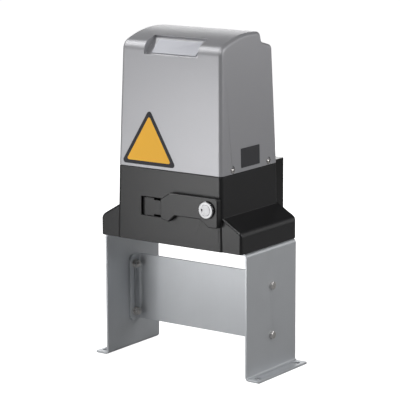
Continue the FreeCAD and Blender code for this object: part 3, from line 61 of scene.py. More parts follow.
MERGE = 0.000004  # points of a CAD mesh that are nearer to each other than this are one point
SHARP = math.radians(32.0)  # faces of a CAD node that meet at more than this keep an edge
FINE_EDGE = 0.0002  # rounding of small machined and printed pieces
SCREW_HEAD = 0.0024  # height from a small screw's seat to the end of its node
CROSS_BOLT_HEAD = 0.004
BASE_BOLT_HEAD = 0.0053
PINION_BOLT_HEAD = 0.0043
LABEL_THICKNESS = 0.0004
LABEL_CORNER = 0.0022  # rounding of the amber field's corners
PLATE_EDGE = 0.00015  # softening round the front of a thin plate
FLOOR_RADIUS = 9.0
AIR_LIGHT = 0.03  # what the air gives back to the object, while the camera sees it white
STAGE_MIDDLE = (0.0, 0.0, 0.28)
# Name, azimuth, elevation and distance from the middle, width, height and watts of each light
LIGHTS = (
    ("near_front_card", -22, -9, 0.8, 0.34, 0.4, 1.95),
    ("left_sheet", -38, -4, 1.8, 0.8, 0.8, 1.7),
    ("left_high_sheet", -50, 42, 1.5, 0.6, 0.6, 4.6),
    ("far_left_high_sheet", -71, 53, 1.5, 0.5, 0.5, 4.0),
    ("right_high_card", 31, 52, 1.5, 0.36, 0.36, 6.0),
    ("back_left_sheet", -145, 16, 1.9, 1.0, 0.8, 4.9),
    ("back_right_sheet", 145, 12, 1.8, 0.8, 0.8, 1.8),
    ("right_sheet", 108, 22, 1.5, 0.7, 0.9, 7.0),
)
CAMERA_PLACE = (1.59616, -2.24655, 0.78163)
CAMERA_TURNS = (35.39, 11.37, -0.22)  # azimuth, elevation and roll in degrees
SENSOR_WIDTH = 36.0
FOCAL_LENGTH = SENSOR_WIDTH * 2022.0 / 400.0  # 2022 pixels in a photograph of 400


# Sizes and colours a user would change
class GateMotorSizes(bpy.types.PropertyGroup):
    """Sizes of the dressed pieces"""

    sheet_edge: FloatProperty(
        name="Sheet edge", description="Rounding of the cut edges of the steel stand", default=0.0005,
        min=0.0, max=0.0012, unit="LENGTH")
    moulding_edge: FloatProperty(
        name="Moulding edge", description="Rounding of the base housing's sharp edges", default=0.0006,
        min=0.0, max=0.0015, unit="LENGTH")
    foot_round: FloatProperty(
        name="Foot rounding", description="Rounding of the outer top edge of the side feet", default=0.011,
        min=0.004, max=0.018, unit="LENGTH")
    lever_edge: FloatProperty(
        name="Lever edge", description="Rounding of the release lever's edges", default=0.0003, min=0.0,
        max=0.0012, unit="LENGTH")
    label_border: FloatProperty(
        name="Label border", description="Width of the dark rim of the front label", default=0.0050,
        min=0.001, max=0.008, unit="LENGTH")
    thread_pitch: FloatProperty(
        name="Thread pitch", description="Distance between the turns of a bolt's thread", default=0.00125,
        min=0.0008, max=0.002, unit="LENGTH")
    head_turn: FloatProperty(
        name="Head turn", description="How far the bolt heads may be turned from one to the next",
        default=math.radians(60), min=0.0, max=math.pi, subtype="ANGLE")
    head_seed: IntProperty(name="Head seed", description="Seed of the bolt heads' turns", default=7, min=0)


class GateMotorColours(bpy.types.PropertyGroup):
    """Base colours of the finishes"""

    silver: FloatVectorProperty(
        name="Silver lacquer", description="Colour of the cover", subtype="COLOR", size=3, min=0.0, max=1.0,
        default=(0.43, 0.43, 0.45))
    black: FloatVectorProperty(
        name="Black moulding", description="Colour of the base and lever", subtype="COLOR", size=3, min=0.0,
        max=1.0, default=(0.014, 0.014, 0.015))
    galvanised: FloatVectorProperty(
        name="Galvanised steel", description="Colour of the stand", subtype="COLOR", size=3, min=0.0, max=1.0,
        default=(0.67, 0.69, 0.715))
    amber: FloatVectorProperty(
        name="Amber film", description="Colour of the front label", subtype="COLOR", size=3, min=0.0, max=1.0,
        default=(1.0, 0.52, 0.03))
    rim: FloatVectorProperty(
        name="Label rim", description="Colour of the front label's rim", subtype="COLOR", size=3, min=0.0,
        max=1.0, default=(0.008, 0.008, 0.014))
    floor: FloatVectorProperty(
        name="Floor", description="Colour of the studio floor", subtype="COLOR", size=3, min=0.0, max=1.0,
        default=(0.90, 0.90, 0.90))


# Node helpers
def add(tree, kind, **settings):
    """New node with its settings."""
    node = tree.nodes.new(kind)
    for key, value in settings.items():
        setattr(node, key, value)
    return node


def feed(tree, node, socket, source):
    """Set a socket to a value, or link it to another socket."""
    target = node.inputs[socket]
    if isinstance(source, bpy.types.NodeSocket):
        tree.links.new(source, target)
    else:
        target.default_value = source


def group_start(name, inputs, outputs):
    """Empty shader node group with named float, colour or vector sockets."""
    tree = bpy.data.node_groups.new(name, "ShaderNodeTree")
    for label, kind, default in inputs:
        socket = tree.interface.new_socket(label, in_out="INPUT", socket_type=kind)
        socket.default_value = default
    for label, kind in outputs:
        tree.interface.new_socket(label, in_out="OUTPUT", socket_type=kind)
    return tree, add(tree, "NodeGroupInput"), add(tree, "NodeGroupOutput")


def object_noise(tree, scale, detail, stretch=None):
    """Noise on the object's own coordinates, which may be stretched first."""
    place = add(tree, "ShaderNodeTexCoord").outputs["Object"]
    if stretch is not None:
        longer = add(tree, "ShaderNodeVectorMath", operation="MULTIPLY")
        feed(tree, longer, 0, place)
        feed(tree, longer, 1, stretch)
        place = longer.outputs["Vector"]
    noise = add(tree, "ShaderNodeTexNoise")
    feed(tree, noise, "Vector", place)
    feed(tree, noise, "Scale", scale)
    feed(tree, noise, "Detail", detail)
    return noise


def spread_noise(tree, noise, start, end):
    """Spread a noise over the group's Low to High for its value, and give it as it is for its height."""
    spread = add(tree, "ShaderNodeMapRange")
    feed(tree, spread, "Value", noise.outputs["Fac"])
    feed(tree, spread, "From Min", 0.3)
    feed(tree, spread, "From Max", 0.7)
    feed(tree, spread, "To Min", start.outputs["Low"])
    feed(tree, spread, "To Max", start.outputs["High"])
    tree.links.new(spread.outputs["Result"], end.inputs["Value"])
    tree.links.new(noise.outputs["Fac"], end.inputs["Height"])


def fine_grain_group():
    """Fine even grain: a value between Low and High, and a height."""
    tree, start, end = group_start(
        "Fine grain",
        [("Scale", "NodeSocketFloat", 900.0), ("Low", "NodeSocketFloat", 0.4),
         ("High", "NodeSocketFloat", 0.6), ("Detail", "NodeSocketFloat", 3.0)],
        [("Value", "NodeSocketFloat"), ("Height", "NodeSocketFloat")])
    noise = object_noise(tree, start.outputs["Scale"], start.outputs["Detail"])
    feed(tree, noise, "Roughness", 0.55)
    spread_noise(tree, noise, start, end)
    return tree


def broad_cloud_group():
    """Broad uneven patches that shift a colour a little."""
    tree, start, end = group_start(
        "Broad clouds",
        [("Colour", "NodeSocketColor", (0.5, 0.5, 0.5, 1.0)), ("Scale", "NodeSocketFloat", 14.0),
         ("Amount", "NodeSocketFloat", 0.08)],
        [("Colour", "NodeSocketColor")])
    noise = object_noise(tree, start.outputs["Scale"], 4.0)
    less = add(tree, "ShaderNodeMath", operation="SUBTRACT")
    feed(tree, less, 0, noise.outputs["Fac"])
    feed(tree, less, 1, 0.5)
    scaled = add(tree, "ShaderNodeMath", operation="MULTIPLY_ADD")
    feed(tree, scaled, 0, less.outputs[0])
    feed(tree, scaled, 1, start.outputs["Amount"])
    feed(tree, scaled, 2, 1.0)
    tint = add(tree, "ShaderNodeHueSaturation")
    feed(tree, tint, "Color", start.outputs["Colour"])
    feed(tree, tint, "Value", scaled.outputs[0])
    tree.links.new(tint.outputs["Color"], end.inputs["Colour"])
    return tree


def rolled_streak_group():
    """Long fine streaks left by rolling or turning, along a chosen direction."""
    tree, start, end = group_start(
        "Rolled streaks",
        [("Stretch", "NodeSocketVector", (600.0, 600.0, 8.0)), ("Low", "NodeSocketFloat", 0.3),
         ("High", "NodeSocketFloat", 0.5)],
        [("Value", "NodeSocketFloat"), ("Height", "NodeSocketFloat")])
    spread_noise(tree, object_noise(tree, 1.0, 2.0, start.outputs["Stretch"]), start, end)
    return tree


def settled_dust_group():
    """Thin dust that gathers where a surface faces up."""
    tree, start, end = group_start(
        "Settled dust",
        [("Amount", "NodeSocketFloat", 0.2)],
        [("Mask", "NodeSocketFloat")])
    shape = add(tree, "ShaderNodeNewGeometry")
    apart = add(tree, "ShaderNodeSeparateXYZ")
    feed(tree, apart, "Vector", shape.outputs["Normal"])
    up = add(tree, "ShaderNodeMapRange")
    feed(tree, up, "Value", apart.outputs["Z"])
    feed(tree, up, "From Min", 0.55)
    feed(tree, up, "From Max", 1.0)
    noise = object_noise(tree, 60.0, 6.0)
    both = add(tree, "ShaderNodeMath", operation="MULTIPLY")
    feed(tree, both, 0, up.outputs["Result"])
    feed(tree, both, 1, noise.outputs["Fac"])
    much = add(tree, "ShaderNodeMath", operation="MULTIPLY")
    feed(tree, much, 0, both.outputs[0])
    feed(tree, much, 1, start.outputs["Amount"])
    tree.links.new(much.outputs[0], end.inputs["Mask"])
    return tree


GROUPS = {}


def effect(tree, name, **values):
    """Place one of the shared effects in a material with its own values."""
    makers = {"Fine grain": fine_grain_group, "Broad clouds": broad_cloud_group,
              "Rolled streaks": rolled_streak_group, "Settled dust": settled_dust_group}
    if name not in GROUPS:
        GROUPS[name] = makers[name]()
    node = add(tree, "ShaderNodeGroup")
    node.node_tree = GROUPS[name]
    for key, value in values.items():
        feed(tree, node, key, value)
    return node


def rgba(colour):
    """Colour with full alpha."""
    return (colour[0], colour[1], colour[2], 1.0)


def material_start(name):
    """New node material with its Principled shader."""
    material = bpy.data.materials.new(name)
    material.use_nodes = True
    tree = material.node_tree
    return material, tree, tree.nodes["Principled BSDF"]


def bump(tree, shader, height, depth):
    """Fine relief, as deep as the depth in metres."""
    node = add(tree, "ShaderNodeBump")
    feed(tree, node, "Height", height)
    feed(tree, node, "Distance", depth)
    feed(tree, node, "Strength", 1.0)
    tree.links.new(node.outputs["Normal"], shader.inputs["Normal"])


def lacquer(name, colour):
    """Silver lacquer on a moulding: fine flakes under a clear coat."""
    material, tree, shader = material_start(name)
    clouds = effect(tree, "Broad clouds", Colour=rgba(colour), Scale=9.0, Amount=0.06)
    flakes = effect(tree, "Fine grain", Scale=2600.0, Low=0.34, High=0.50, Detail=1.0)
    sparkle = effect(tree, "Fine grain", Scale=3400.0, Low=-0.03, High=0.03, Detail=0.0)
    lift = add(tree, "ShaderNodeMath", operation="ADD")
    feed(tree, lift, 0, sparkle.outputs["Value"])
    feed(tree, lift, 1, 1.0)
    tint = add(tree, "ShaderNodeHueSaturation")
    feed(tree, tint, "Color", clouds.outputs["Colour"])
    feed(tree, tint, "Value", lift.outputs[0])
    tree.links.new(tint.outputs["Color"], shader.inputs["Base Color"])
    tree.links.new(flakes.outputs["Value"], shader.inputs["Roughness"])
    shader.inputs["Metallic"].default_value = 0.35
    shader.inputs["Coat Weight"].default_value = 0.2
    shader.inputs["Coat Roughness"].default_value = 0.22
    bump(tree, shader, flakes.outputs["Height"], 0.00003)
    return material


def moulding(name, colour, low=0.42, high=0.56, depth=0.00006, dust=0.0):
    """Moulded plastic with a fine spark-eroded texture, and dust where it faces up."""
    material, tree, shader = material_start(name)
    clouds = effect(tree, "Broad clouds", Colour=rgba(colour), Scale=16.0, Amount=0.25)
    grain = effect(tree, "Fine grain", Scale=1500.0, Low=low, High=high, Detail=2.0)
    if dust:
        mask = effect(tree, "Settled dust", Amount=dust)
        mix = add(tree, "ShaderNodeMix", data_type="RGBA")
        feed(tree, mix, "Factor", mask.outputs["Mask"])
        tree.links.new(clouds.outputs["Colour"], mix.inputs["A"])
        tree.links.new(mix.outputs["Result"], shader.inputs["Base Color"])
        mix.inputs["B"].default_value = (0.30, 0.29, 0.27, 1.0)
    else:
        tree.links.new(clouds.outputs["Colour"], shader.inputs["Base Color"])
    tree.links.new(grain.outputs["Value"], shader.inputs["Roughness"])
    bump(tree, shader, grain.outputs["Height"], depth)
    return material


def skinned(name, colour, metallic, depth, clouds, skin, **values):
    """Finish with a clouded colour, and one effect that gives its roughness and relief."""
    material, tree, shader = material_start(name)
    scale, amount = clouds
    patches = effect(tree, "Broad clouds", Colour=rgba(colour), Scale=scale, Amount=amount)
    relief = effect(tree, skin, **values)
    tree.links.new(patches.outputs["Colour"], shader.inputs["Base Color"])
    tree.links.new(relief.outputs["Value"], shader.inputs["Roughness"])
    shader.inputs["Metallic"].default_value = metallic
    bump(tree, shader, relief.outputs["Height"], depth)
    return material


def galvanised_sheet(name, colour):
    """Zinc coated sheet with faint rolling streaks and soft patches."""
    return skinned(name, colour, 0.6, 0.00002, (22.0, 0.10), "Rolled streaks", Stretch=(500.0, 500.0, 14.0),
                   Low=0.36, High=0.48)


def worked_metal(name, colour, stretch, low=0.2, high=0.35, depth=0.00002):
    """Turned, ground or plated metal."""
    return skinned(name, colour, 1.0, depth, (40.0, 0.16), "Rolled streaks", Stretch=stretch, Low=low,
                   High=high)


def cast_metal(name, colour, metallic=0.9):
    """Sand or die cast metal with a fine skin."""
    return skinned(name, colour, metallic, 0.00015, (30.0, 0.22), "Fine grain", Scale=700.0, Low=0.45,
                   High=0.65, Detail=4.0)


def printed_film(name, colour, low, high):
    """Smooth printed film or painted plate."""
    return skinned(name, colour, 0.0, 0.00001, (35.0, 0.05), "Fine grain", Scale=900.0, Low=low, High=high,
                   Detail=1.0)


MATERIALS = {}


def finish_of(name):
    """The finishes of this object, each made once."""
    if name in MATERIALS:
        return MATERIALS[name]
    tone = bpy.context.scene.gate_motor_colours
    recipes = {
        "cover silver": (lacquer, tone.silver, {}),
        "base black": (moulding, tone.black, {"low": 0.31, "high": 0.42, "dust": 0.015}),
        "lever black": (moulding, tone.black, {"low": 0.32, "high": 0.42, "depth": 0.00003}),
        "guard black": (moulding, (0.006, 0.006, 0.006), {"low": 0.16, "high": 0.24, "depth": 0.00001}),
        "stand zinc": (galvanised_sheet, tone.galvanised, {}),
        "bracket zinc": (galvanised_sheet, (0.55, 0.56, 0.55), {}),
        "bolt zinc": (worked_metal, (0.72, 0.70, 0.68), {"stretch": (900.0, 900.0, 900.0), "low": 0.22,
                                                         "high": 0.38}),
        "polished chrome": (worked_metal, (0.22, 0.22, 0.225), {"stretch": (700.0, 20.0, 700.0), "low": 0.24,
                                                                "high": 0.3, "depth": 0.000001}),
        "satin nickel": (worked_metal, (0.47, 0.47, 0.48), {"stretch": (1400.0, 30.0, 1400.0), "low": 0.42,
                                                            "high": 0.55}),
        "badge silver": (printed_film, (0.56, 0.57, 0.62), {"low": 0.3, "high": 0.42}),
        "amber film": (printed_film, tone.amber, {"low": 0.5, "high": 0.6}),
        "navy rim": (printed_film, tone.rim, {"low": 0.5, "high": 0.6}),
        "dark plate": (printed_film, (0.045, 0.045, 0.05), {"low": 0.35, "high": 0.45}),
        "gasket rubber": (moulding, (0.012, 0.012, 0.012), {"low": 0.7, "high": 0.85}),
        "seal rubber": (moulding, (0.03, 0.015, 0.012), {"low": 0.55, "high": 0.7}),
        "wheel bronze": (cast_metal, (0.62, 0.40, 0.18), {}),
        "turned steel": (worked_metal, (0.58, 0.58, 0.59), {"stretch": (60.0, 900.0, 60.0)}),
        "motor shaft steel": (worked_metal, (0.56, 0.56, 0.57), {"stretch": (60.0, 60.0, 900.0)}),
        "pinion steel": (worked_metal, (0.46, 0.46, 0.47), {"stretch": (500.0, 20.0, 500.0), "low": 0.28,
                                                            "high": 0.42}),
        "bearing steel": (worked_metal, (0.66, 0.66, 0.67), {"stretch": (700.0, 700.0, 700.0), "low": 0.12,
                                                             "high": 0.22}),
        "spring steel": (worked_metal, (0.36, 0.36, 0.38), {"stretch": (600.0, 600.0, 600.0), "low": 0.25,
                                                            "high": 0.4}),
        "cast alloy": (cast_metal, (0.60, 0.61, 0.62), {}),
        "laminated core": (worked_metal, (0.22, 0.21, 0.20), {"stretch": (20.0, 20.0, 2600.0), "low": 0.4,
                                                              "high": 0.65, "depth": 0.0002}),
        "copper wire": (worked_metal, (0.66, 0.27, 0.10), {"stretch": (40.0, 40.0, 1500.0), "low": 0.25,
                                                           "high": 0.4, "depth": 0.0002}),
        "circuit board": (printed_film, (0.03, 0.18, 0.07), {"low": 0.3, "high": 0.4}),
        "terminal green": (moulding, (0.05, 0.28, 0.10), {}),
        "varnished iron": (cast_metal, (0.10, 0.08, 0.06), {"metallic": 0.3}),
        "capacitor white": (moulding, (0.70, 0.70, 0.67), {}),
        "sensor black": (moulding, (0.02, 0.02, 0.02), {}),
    }
    maker, colour, values = recipes[name]
    MATERIALS[name] = maker(name, colour, **values)
    return MATERIALS[name]


# Mesh helpers
def dress_node(node, finish):
    """Give a CAD node its finish without touching its shape."""
    piece = frame["nodes"][node]
    piece.data.materials.clear()
    piece.data.materials.append(finish_of(finish))


def body_holding(node):
    """Name of the body that a CAD node belongs to."""
    for name, nodes in frame["record"]["behaviour"]["bodies"].items():
        if node in nodes:
            return name
    raise RuntimeError("no body holds " + node)


def new_object(name, mesh, finishes):
    """Object in the scene with its finishes."""
    piece = bpy.data.objects.new(name, mesh)
    bpy.context.scene.collection.objects.link(piece)
    for finish in finishes:
        mesh.materials.append(finish_of(finish))
    return piece


def settle(piece):
    """Apply the piece's modifiers, so its mesh holds its final shape."""
    shape = piece.evaluated_get(bpy.context.evaluated_depsgraph_get())
    mesh = bpy.data.meshes.new_from_object(shape)
    mesh.name = piece.name
    piece.modifiers.clear()
    old = piece.data
    piece.data = mesh
    bpy.data.meshes.remove(old)


def merged_form(node):
    """A CAD node's mesh with its loose triangles joined."""
    form = bmesh.new()
    form.from_mesh(frame["nodes"][node].data)
    bmesh.ops.remove_doubles(form, verts=form.verts, dist=MERGE)
    return form


def eased_copy(node, name, finish, width, segments=2, cutters=()):
    """Copy of a CAD node, less the cutters, with its sharp edges eased and its curved faces smooth.

    No point of the copy stands outside the node's own span.
    """
    form = merged_form(node)
    for face in form.faces:
        face.smooth = True
    mesh = bpy.data.meshes.new(name)
    form.to_mesh(mesh)
    form.free()
    spans = [(min(vert.co[axis] for vert in mesh.vertices), max(vert.co[axis] for vert in mesh.vertices))
             for axis in range(3)]
    piece = new_object(name, mesh, [finish])
    for cutter in cutters:
        cut = piece.modifiers.new("Cut", "BOOLEAN")
        cut.operation = "DIFFERENCE"
        cut.solver = "EXACT"
        cut.object = cutter
    if cutters:
        settle(piece)
        for cutter in cutters:
            bpy.data.objects.remove(cutter)
    piece.data.set_sharp_from_angle(angle=SHARP)
    if width > 0:
        ease = piece.modifiers.new("Eased edges", "BEVEL")
        ease.width = width
        ease.segments = segments
        ease.limit_method = "ANGLE"
        ease.angle_limit = SHARP
        ease.use_clamp_overlap = False
    flats = piece.modifiers.new("Flat faces first", "WEIGHTED_NORMAL")
    flats.mode = "FACE_AREA"
    flats.weight = 100
    flats.keep_sharp = True
    settle(piece)
    for vert in piece.data.vertices:
        vert.co = [min(max(value, low), high) for value, (low, high) in zip(vert.co, spans)]
    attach(piece, body_holding(node))
    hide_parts(node)


def ring_points(count, radius):
    """Points of an even ring round zero."""
    return [(radius * math.cos(2 * math.pi * k / count), radius * math.sin(2 * math.pi * k / count))
            for k in range(count)]


def lathe(form, profile, count):
    """Revolve (radius, height) points about Z. A radius of 0 makes a pole."""
    rings = []
    for radius, height in profile:
        if radius <= 0:
            rings.append([form.verts.new((0, 0, height))])
        else:
            rings.append([form.verts.new((x, y, height)) for x, y in ring_points(count, radius)])
    for low, high in zip(rings, rings[1:]):
        for k in range(count):
            following = (k + 1) % count
            if len(low) == 1:
                form.faces.new((low[0], high[following], high[k]))
            elif len(high) == 1:
                form.faces.new((low[k], low[following], high[0]))
            else:
                form.faces.new((low[k], low[following], high[following], high[k]))
    return rings


def walls(form, near, far):
    """Join two closed rings of points with a band of faces."""
    for k in range(len(near)):
        following = (k + 1) % len(near)
        form.faces.new((near[k], near[following], far[following], far[k]))


def finished_form(name, form, sharp=math.radians(40.0)):
    """Mesh of a form, smooth but for its sharp edges, with its normals outward."""
    bmesh.ops.recalc_face_normals(form, faces=form.faces)
    for face in form.faces:
        face.smooth = True
    mesh = bpy.data.meshes.new(name)
    form.to_mesh(mesh)
    form.free()
    mesh.set_sharp_from_angle(angle=sharp)
    return mesh


def hex_bolt_form(name, across, head, shank, length, pitch, washer_radius=0.0, washer=0.0):
    """Hexagon bolt along +Z: chamfered head above zero, washer below it, threaded shank downwards."""
    form = bmesh.new()
    chamfer = head * 0.16
    dish_points = 36
    low, crown = ([form.verts.new((x, y, height)) for x, y in ring_points(6, across / math.sqrt(3))]
                  for height in (0.0, head - chamfer))
    walls(form, low, crown)
    top = [form.verts.new((x, y, head)) for x, y in ring_points(dish_points, across * 0.46)]
    for k in range(6):
        run = [top[(k * 6 + step) % dish_points] for step in range(7)]
        form.faces.new([crown[k], crown[(k + 1) % 6]] + list(reversed(run)))
    form.faces.new(top)
    form.faces.new(list(reversed(low)))
    if washer > 0:
        lathe(form, [(0, 0.0), (washer_radius, 0.0), (washer_radius, -washer * 0.85),
                     (washer_radius * 0.97, -washer), (0, -washer)], 40)
    turns = max(1, int(length * 0.6 / pitch))
    profile = [(0, -washer * 0.9), (shank, -washer * 0.9), (shank, -length + turns * pitch)]
    for k in range(turns):
        start = -length + (turns - k) * pitch
        profile += [(shank * 0.86, start - pitch * 0.5), (shank, start - pitch * 0.96)]
    profile += [(shank * 0.8, -length - pitch * 0.3), (0, -length - pitch * 0.3)]
    lathe(form, profile, 20)
    return finished_form(name, form)


def cross_screw_form(name, head, length, radius=0.0036, shank=0.002, pitch=0.0009):
    """Pan head screw along +Z with a cross recess, its threaded shank downwards."""
    form = bmesh.new()
    dome = [(radius, 0.0), (radius, head * 0.35), (radius * 0.93, head * 0.68), (radius * 0.78, head * 0.88)]
    edge = lathe(form, [(0, 0.0)] + dome, 40)[-1]
    edge.sort(key=lambda vert: math.atan2(vert.co.y, vert.co.x))
    half, reach = radius * 0.12, radius * 0.55
    cross = [(reach, -half), (reach, half), (half, half), (half, reach), (-half, reach), (-half, half),
             (-reach, half), (-reach, -half), (-half, -half), (-half, -reach), (half, -reach), (half, -half)]
    rim = [form.verts.new((x, y, head)) for x, y in cross]
    floor = [form.verts.new((x * 0.8, y * 0.8, head * 0.45)) for x, y in cross]
    edges = [form.edges.get((edge[k], edge[(k + 1) % len(edge)])) for k in range(len(edge))]
    edges += [form.edges.new((rim[k], rim[(k + 1) % len(rim)])) for k in range(len(rim))]
    bmesh.ops.triangle_fill(form, use_beauty=True, edges=edges)
    walls(form, rim, floor)
    form.faces.new(floor)
    profile = [(0, 0.0), (shank * 0.8, 0.0)]
    for k in range(max(1, int(length / pitch) - 1)):
        profile += [(shank * 0.72, -(k + 0.4) * pitch), (shank, -(k + 0.9) * pitch)]
    profile += [(shank * 0.5, -length), (0, -length)]
    lathe(form, profile, 16)
    return finished_form(name, form)


def fastener_tree():
    """Geometry node tree that sets one form out on points, aimed by each point's own direction."""
    tree = bpy.data.node_groups.new("Set out fasteners", "GeometryNodeTree")
    for label, kind in (("Geometry", "NodeSocketGeometry"), ("Form", "NodeSocketObject"),
                        ("Head turn", "NodeSocketFloat"), ("Seed", "NodeSocketInt"),
                        ("Finish", "NodeSocketMaterial")):
        tree.interface.new_socket(label, in_out="INPUT", socket_type=kind)
    tree.interface.new_socket("Geometry", in_out="OUTPUT", socket_type="NodeSocketGeometry")
    start = add(tree, "NodeGroupInput")
    end = add(tree, "NodeGroupOutput")
    aim = add(tree, "GeometryNodeInputNamedAttribute", data_type="FLOAT_VECTOR")
    feed(tree, aim, "Name", "aim")
    align = add(tree, "FunctionNodeAlignRotationToVector", axis="Z")
    feed(tree, align, "Vector", aim.outputs["Attribute"])
    chance = add(tree, "FunctionNodeRandomValue", data_type="FLOAT")
    feed(tree, chance, "Min", 0.0)
    feed(tree, chance, "Max", start.outputs["Head turn"])
    feed(tree, chance, "Seed", start.outputs["Seed"])
    spin = add(tree, "FunctionNodeAxisAngleToRotation")
    feed(tree, spin, "Axis", (0.0, 0.0, 1.0))
    feed(tree, spin, "Angle", chance.outputs[1])
    turn = add(tree, "FunctionNodeRotateRotation", rotation_space="LOCAL")
    feed(tree, turn, "Rotation", align.outputs["Rotation"])
    feed(tree, turn, "Rotate By", spin.outputs["Rotation"])
    form = add(tree, "GeometryNodeObjectInfo")
    feed(tree, form, "Object", start.outputs["Form"])
    copies = add(tree, "GeometryNodeInstanceOnPoints")
    feed(tree, copies, "Points", start.outputs["Geometry"])
    feed(tree, copies, "Instance", form.outputs["Geometry"])
    feed(tree, copies, "Rotation", turn.outputs["Rotation"])
    real = add(tree, "GeometryNodeRealizeInstances")
    feed(tree, real, "Geometry", copies.outputs["Instances"])
    finish = add(tree, "GeometryNodeSetMaterial")
    feed(tree, finish, "Geometry", real.outputs["Geometry"])
    feed(tree, finish, "Material", start.outputs["Finish"])
    tree.links.new(finish.outputs["Geometry"], end.inputs["Geometry"])
    return tree


def set_out(name, form_mesh, places, finish, body, nodes):
    """One mesh of like fasteners at (place, direction) pairs, riding on one body."""
    sizes = bpy.context.scene.gate_motor_sizes
    if "fasteners" not in GROUPS:
        GROUPS["fasteners"] = fastener_tree()
    tree = GROUPS["fasteners"]
    form = bpy.data.objects.new(name + " form", form_mesh)
    bpy.context.scene.collection.objects.link(form)
    points = bpy.data.meshes.new(name)
    points.from_pydata([place for place, direction in places], [], [])
    aim = points.attributes.new("aim", "FLOAT_VECTOR", "POINT")
    for index, (place, direction) in enumerate(places):
        aim.data[index].vector = direction
    piece = bpy.data.objects.new(name, points)
    bpy.context.scene.collection.objects.link(piece)
    layout = piece.modifiers.new("Set out", "NODES")
    layout.node_group = tree
    keys = {item.name: item.identifier for item in tree.interface.items_tree if item.in_out == "INPUT"}
    layout[keys["Form"]] = form
    layout[keys["Head turn"]] = sizes.head_turn
    layout[keys["Seed"]] = sizes.head_seed
    layout[keys["Finish"]] = finish_of(finish)
    settle(piece)
    if len(piece.data.polygons) == 0:
        raise RuntimeError(name + " came out empty")
    bpy.data.objects.remove(form)
    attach(piece, body)
    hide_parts(*nodes)


def spots(node):
    """Low and high corners of a node's separate solids, from its own loose parts."""
    form = merged_form(node)
    left = set(form.verts)
    boxes = []
    while left:
        queue = [left.pop()]
        low, high = queue[0].co.copy(), queue[0].co.copy()
        while queue:
            vert = queue.pop()
            for k in range(3):
                low[k] = min(low[k], vert.co[k])
                high[k] = max(high[k], vert.co[k])
            for edge in vert.link_edges:
                other = edge.other_vert(vert)
                if other in left:
                    left.remove(other)
                    queue.append(other)
        boxes.append((low, high))
    form.free()
    boxes.sort(key=lambda box: tuple(round(c, 5) for c in box[0]))
    return boxes


def seats(boxes, head, way=None):
    """Seat and direction of each fastener, its seat one head's height in from an end of its box.

    The end is the one that the way points to, or else the one that looks away from the middle along X.
    """
    places = []
    for low, high in boxes:
        aim = Vector((math.copysign(1.0, low.x), 0, 0)) if way is None else Vector(way)
        axis = max(range(3), key=lambda k: abs(aim[k]))
        seat = (low + high) / 2
        seat[axis] = (high if aim[axis] > 0 else low)[axis] - aim[axis] * head
        places.append((seat, aim))
    return places


class GATEMOTOR_OT_cover(bpy.types.Operator):
    """Silver cover, its gasket and its screws"""

    bl_idname = "gate_motor.cover"
    bl_label = "Cover"

    def execute(self, context):
        eased_copy("cover_shell", "cover", "cover silver", 0.0003)
        dress_node("cover_gasket", "gasket rubber")
        form = cross_screw_form("cover screw", head=0.0026, length=0.009)
        places = seats(spots("cover_screws"), SCREW_HEAD)
        set_out("cover_screw_set", form, places, "bolt zinc", "stand", ["cover_screws"])
        return {"FINISHED"}


def foot_round_cutter(side, radius, bevel=0.0022, steps=12, past=0.002):
    """What a soft rounding takes off the outer top edge of a side foot, with the front bevel run round it."""
    mesh = frame["nodes"]["base_housing"].data
    outer = max(vert.co.x * side for vert in mesh.vertices)
    top = max(vert.co.z for vert in mesh.vertices if vert.co.x * side > outer - 0.00001)
    ends = [vert.co.y for vert in mesh.vertices if vert.co.x * side > outer - 0.005]
    slopes = [face for face in mesh.polygons if face.normal.x * side > 0.3 and face.normal.z > 0.5
              and face.center.x * side > outer - 0.03]
    slope = max(slopes, key=lambda face: face.area).normal
    turn = math.atan2(slope.z, slope.x * side)
    drop = radius * math.tan(turn / 2)
    centre = (outer - radius, top - drop)
    form = bmesh.new()
    rings = []
    for y, inset in ((min(ends) - past, bevel + past), (min(ends) + bevel, 0.0), (max(ends) + past, 0.0)):
        reach = radius - inset
        ring = [(outer + past, centre[1])]
        arc = [(reach, turn * k / steps) for k in range(steps + 1)] + [(radius + past, turn)]
        ring += [(centre[0] + out * math.cos(angle), centre[1] + out * math.sin(angle)) for out, angle in arc]
        ring.append((outer + past, top + past))
        rings.append([form.verts.new((x * side, y, z)) for x, z in ring])
    for near, far in zip(rings, rings[1:]):
        walls(form, near, far)
    form.faces.new(rings[0])
    form.faces.new(list(reversed(rings[-1])))
    cutter = bpy.data.objects.new("foot rounding", finished_form("foot rounding", form))
    bpy.context.scene.collection.objects.link(cutter)
    return cutter


class GATEMOTOR_OT_base(bpy.types.Operator):
    """Black base housing, gear guard and cable gland"""

    bl_idname = "gate_motor.base"
    bl_label = "Base and guard"

    def execute(self, context):
        sizes = context.scene.gate_motor_sizes
        roundings = [foot_round_cutter(side, sizes.foot_round) for side in (-1.0, 1.0)]
        eased_copy("base_housing", "base", "base black", sizes.moulding_edge, cutters=roundings)
        eased_copy("gear_guard", "guard", "guard black", 0.0005)
        dress_node("cable_gland", "sensor black")
        form = cross_screw_form("guard screw", head=SCREW_HEAD, length=0.012)
        places = seats(spots("guard_screws"), SCREW_HEAD, (0, 1, 0))
        set_out("guard_screw_set", form, places, "bolt zinc", "stand", ["guard_screws"])
        return {"FINISHED"}


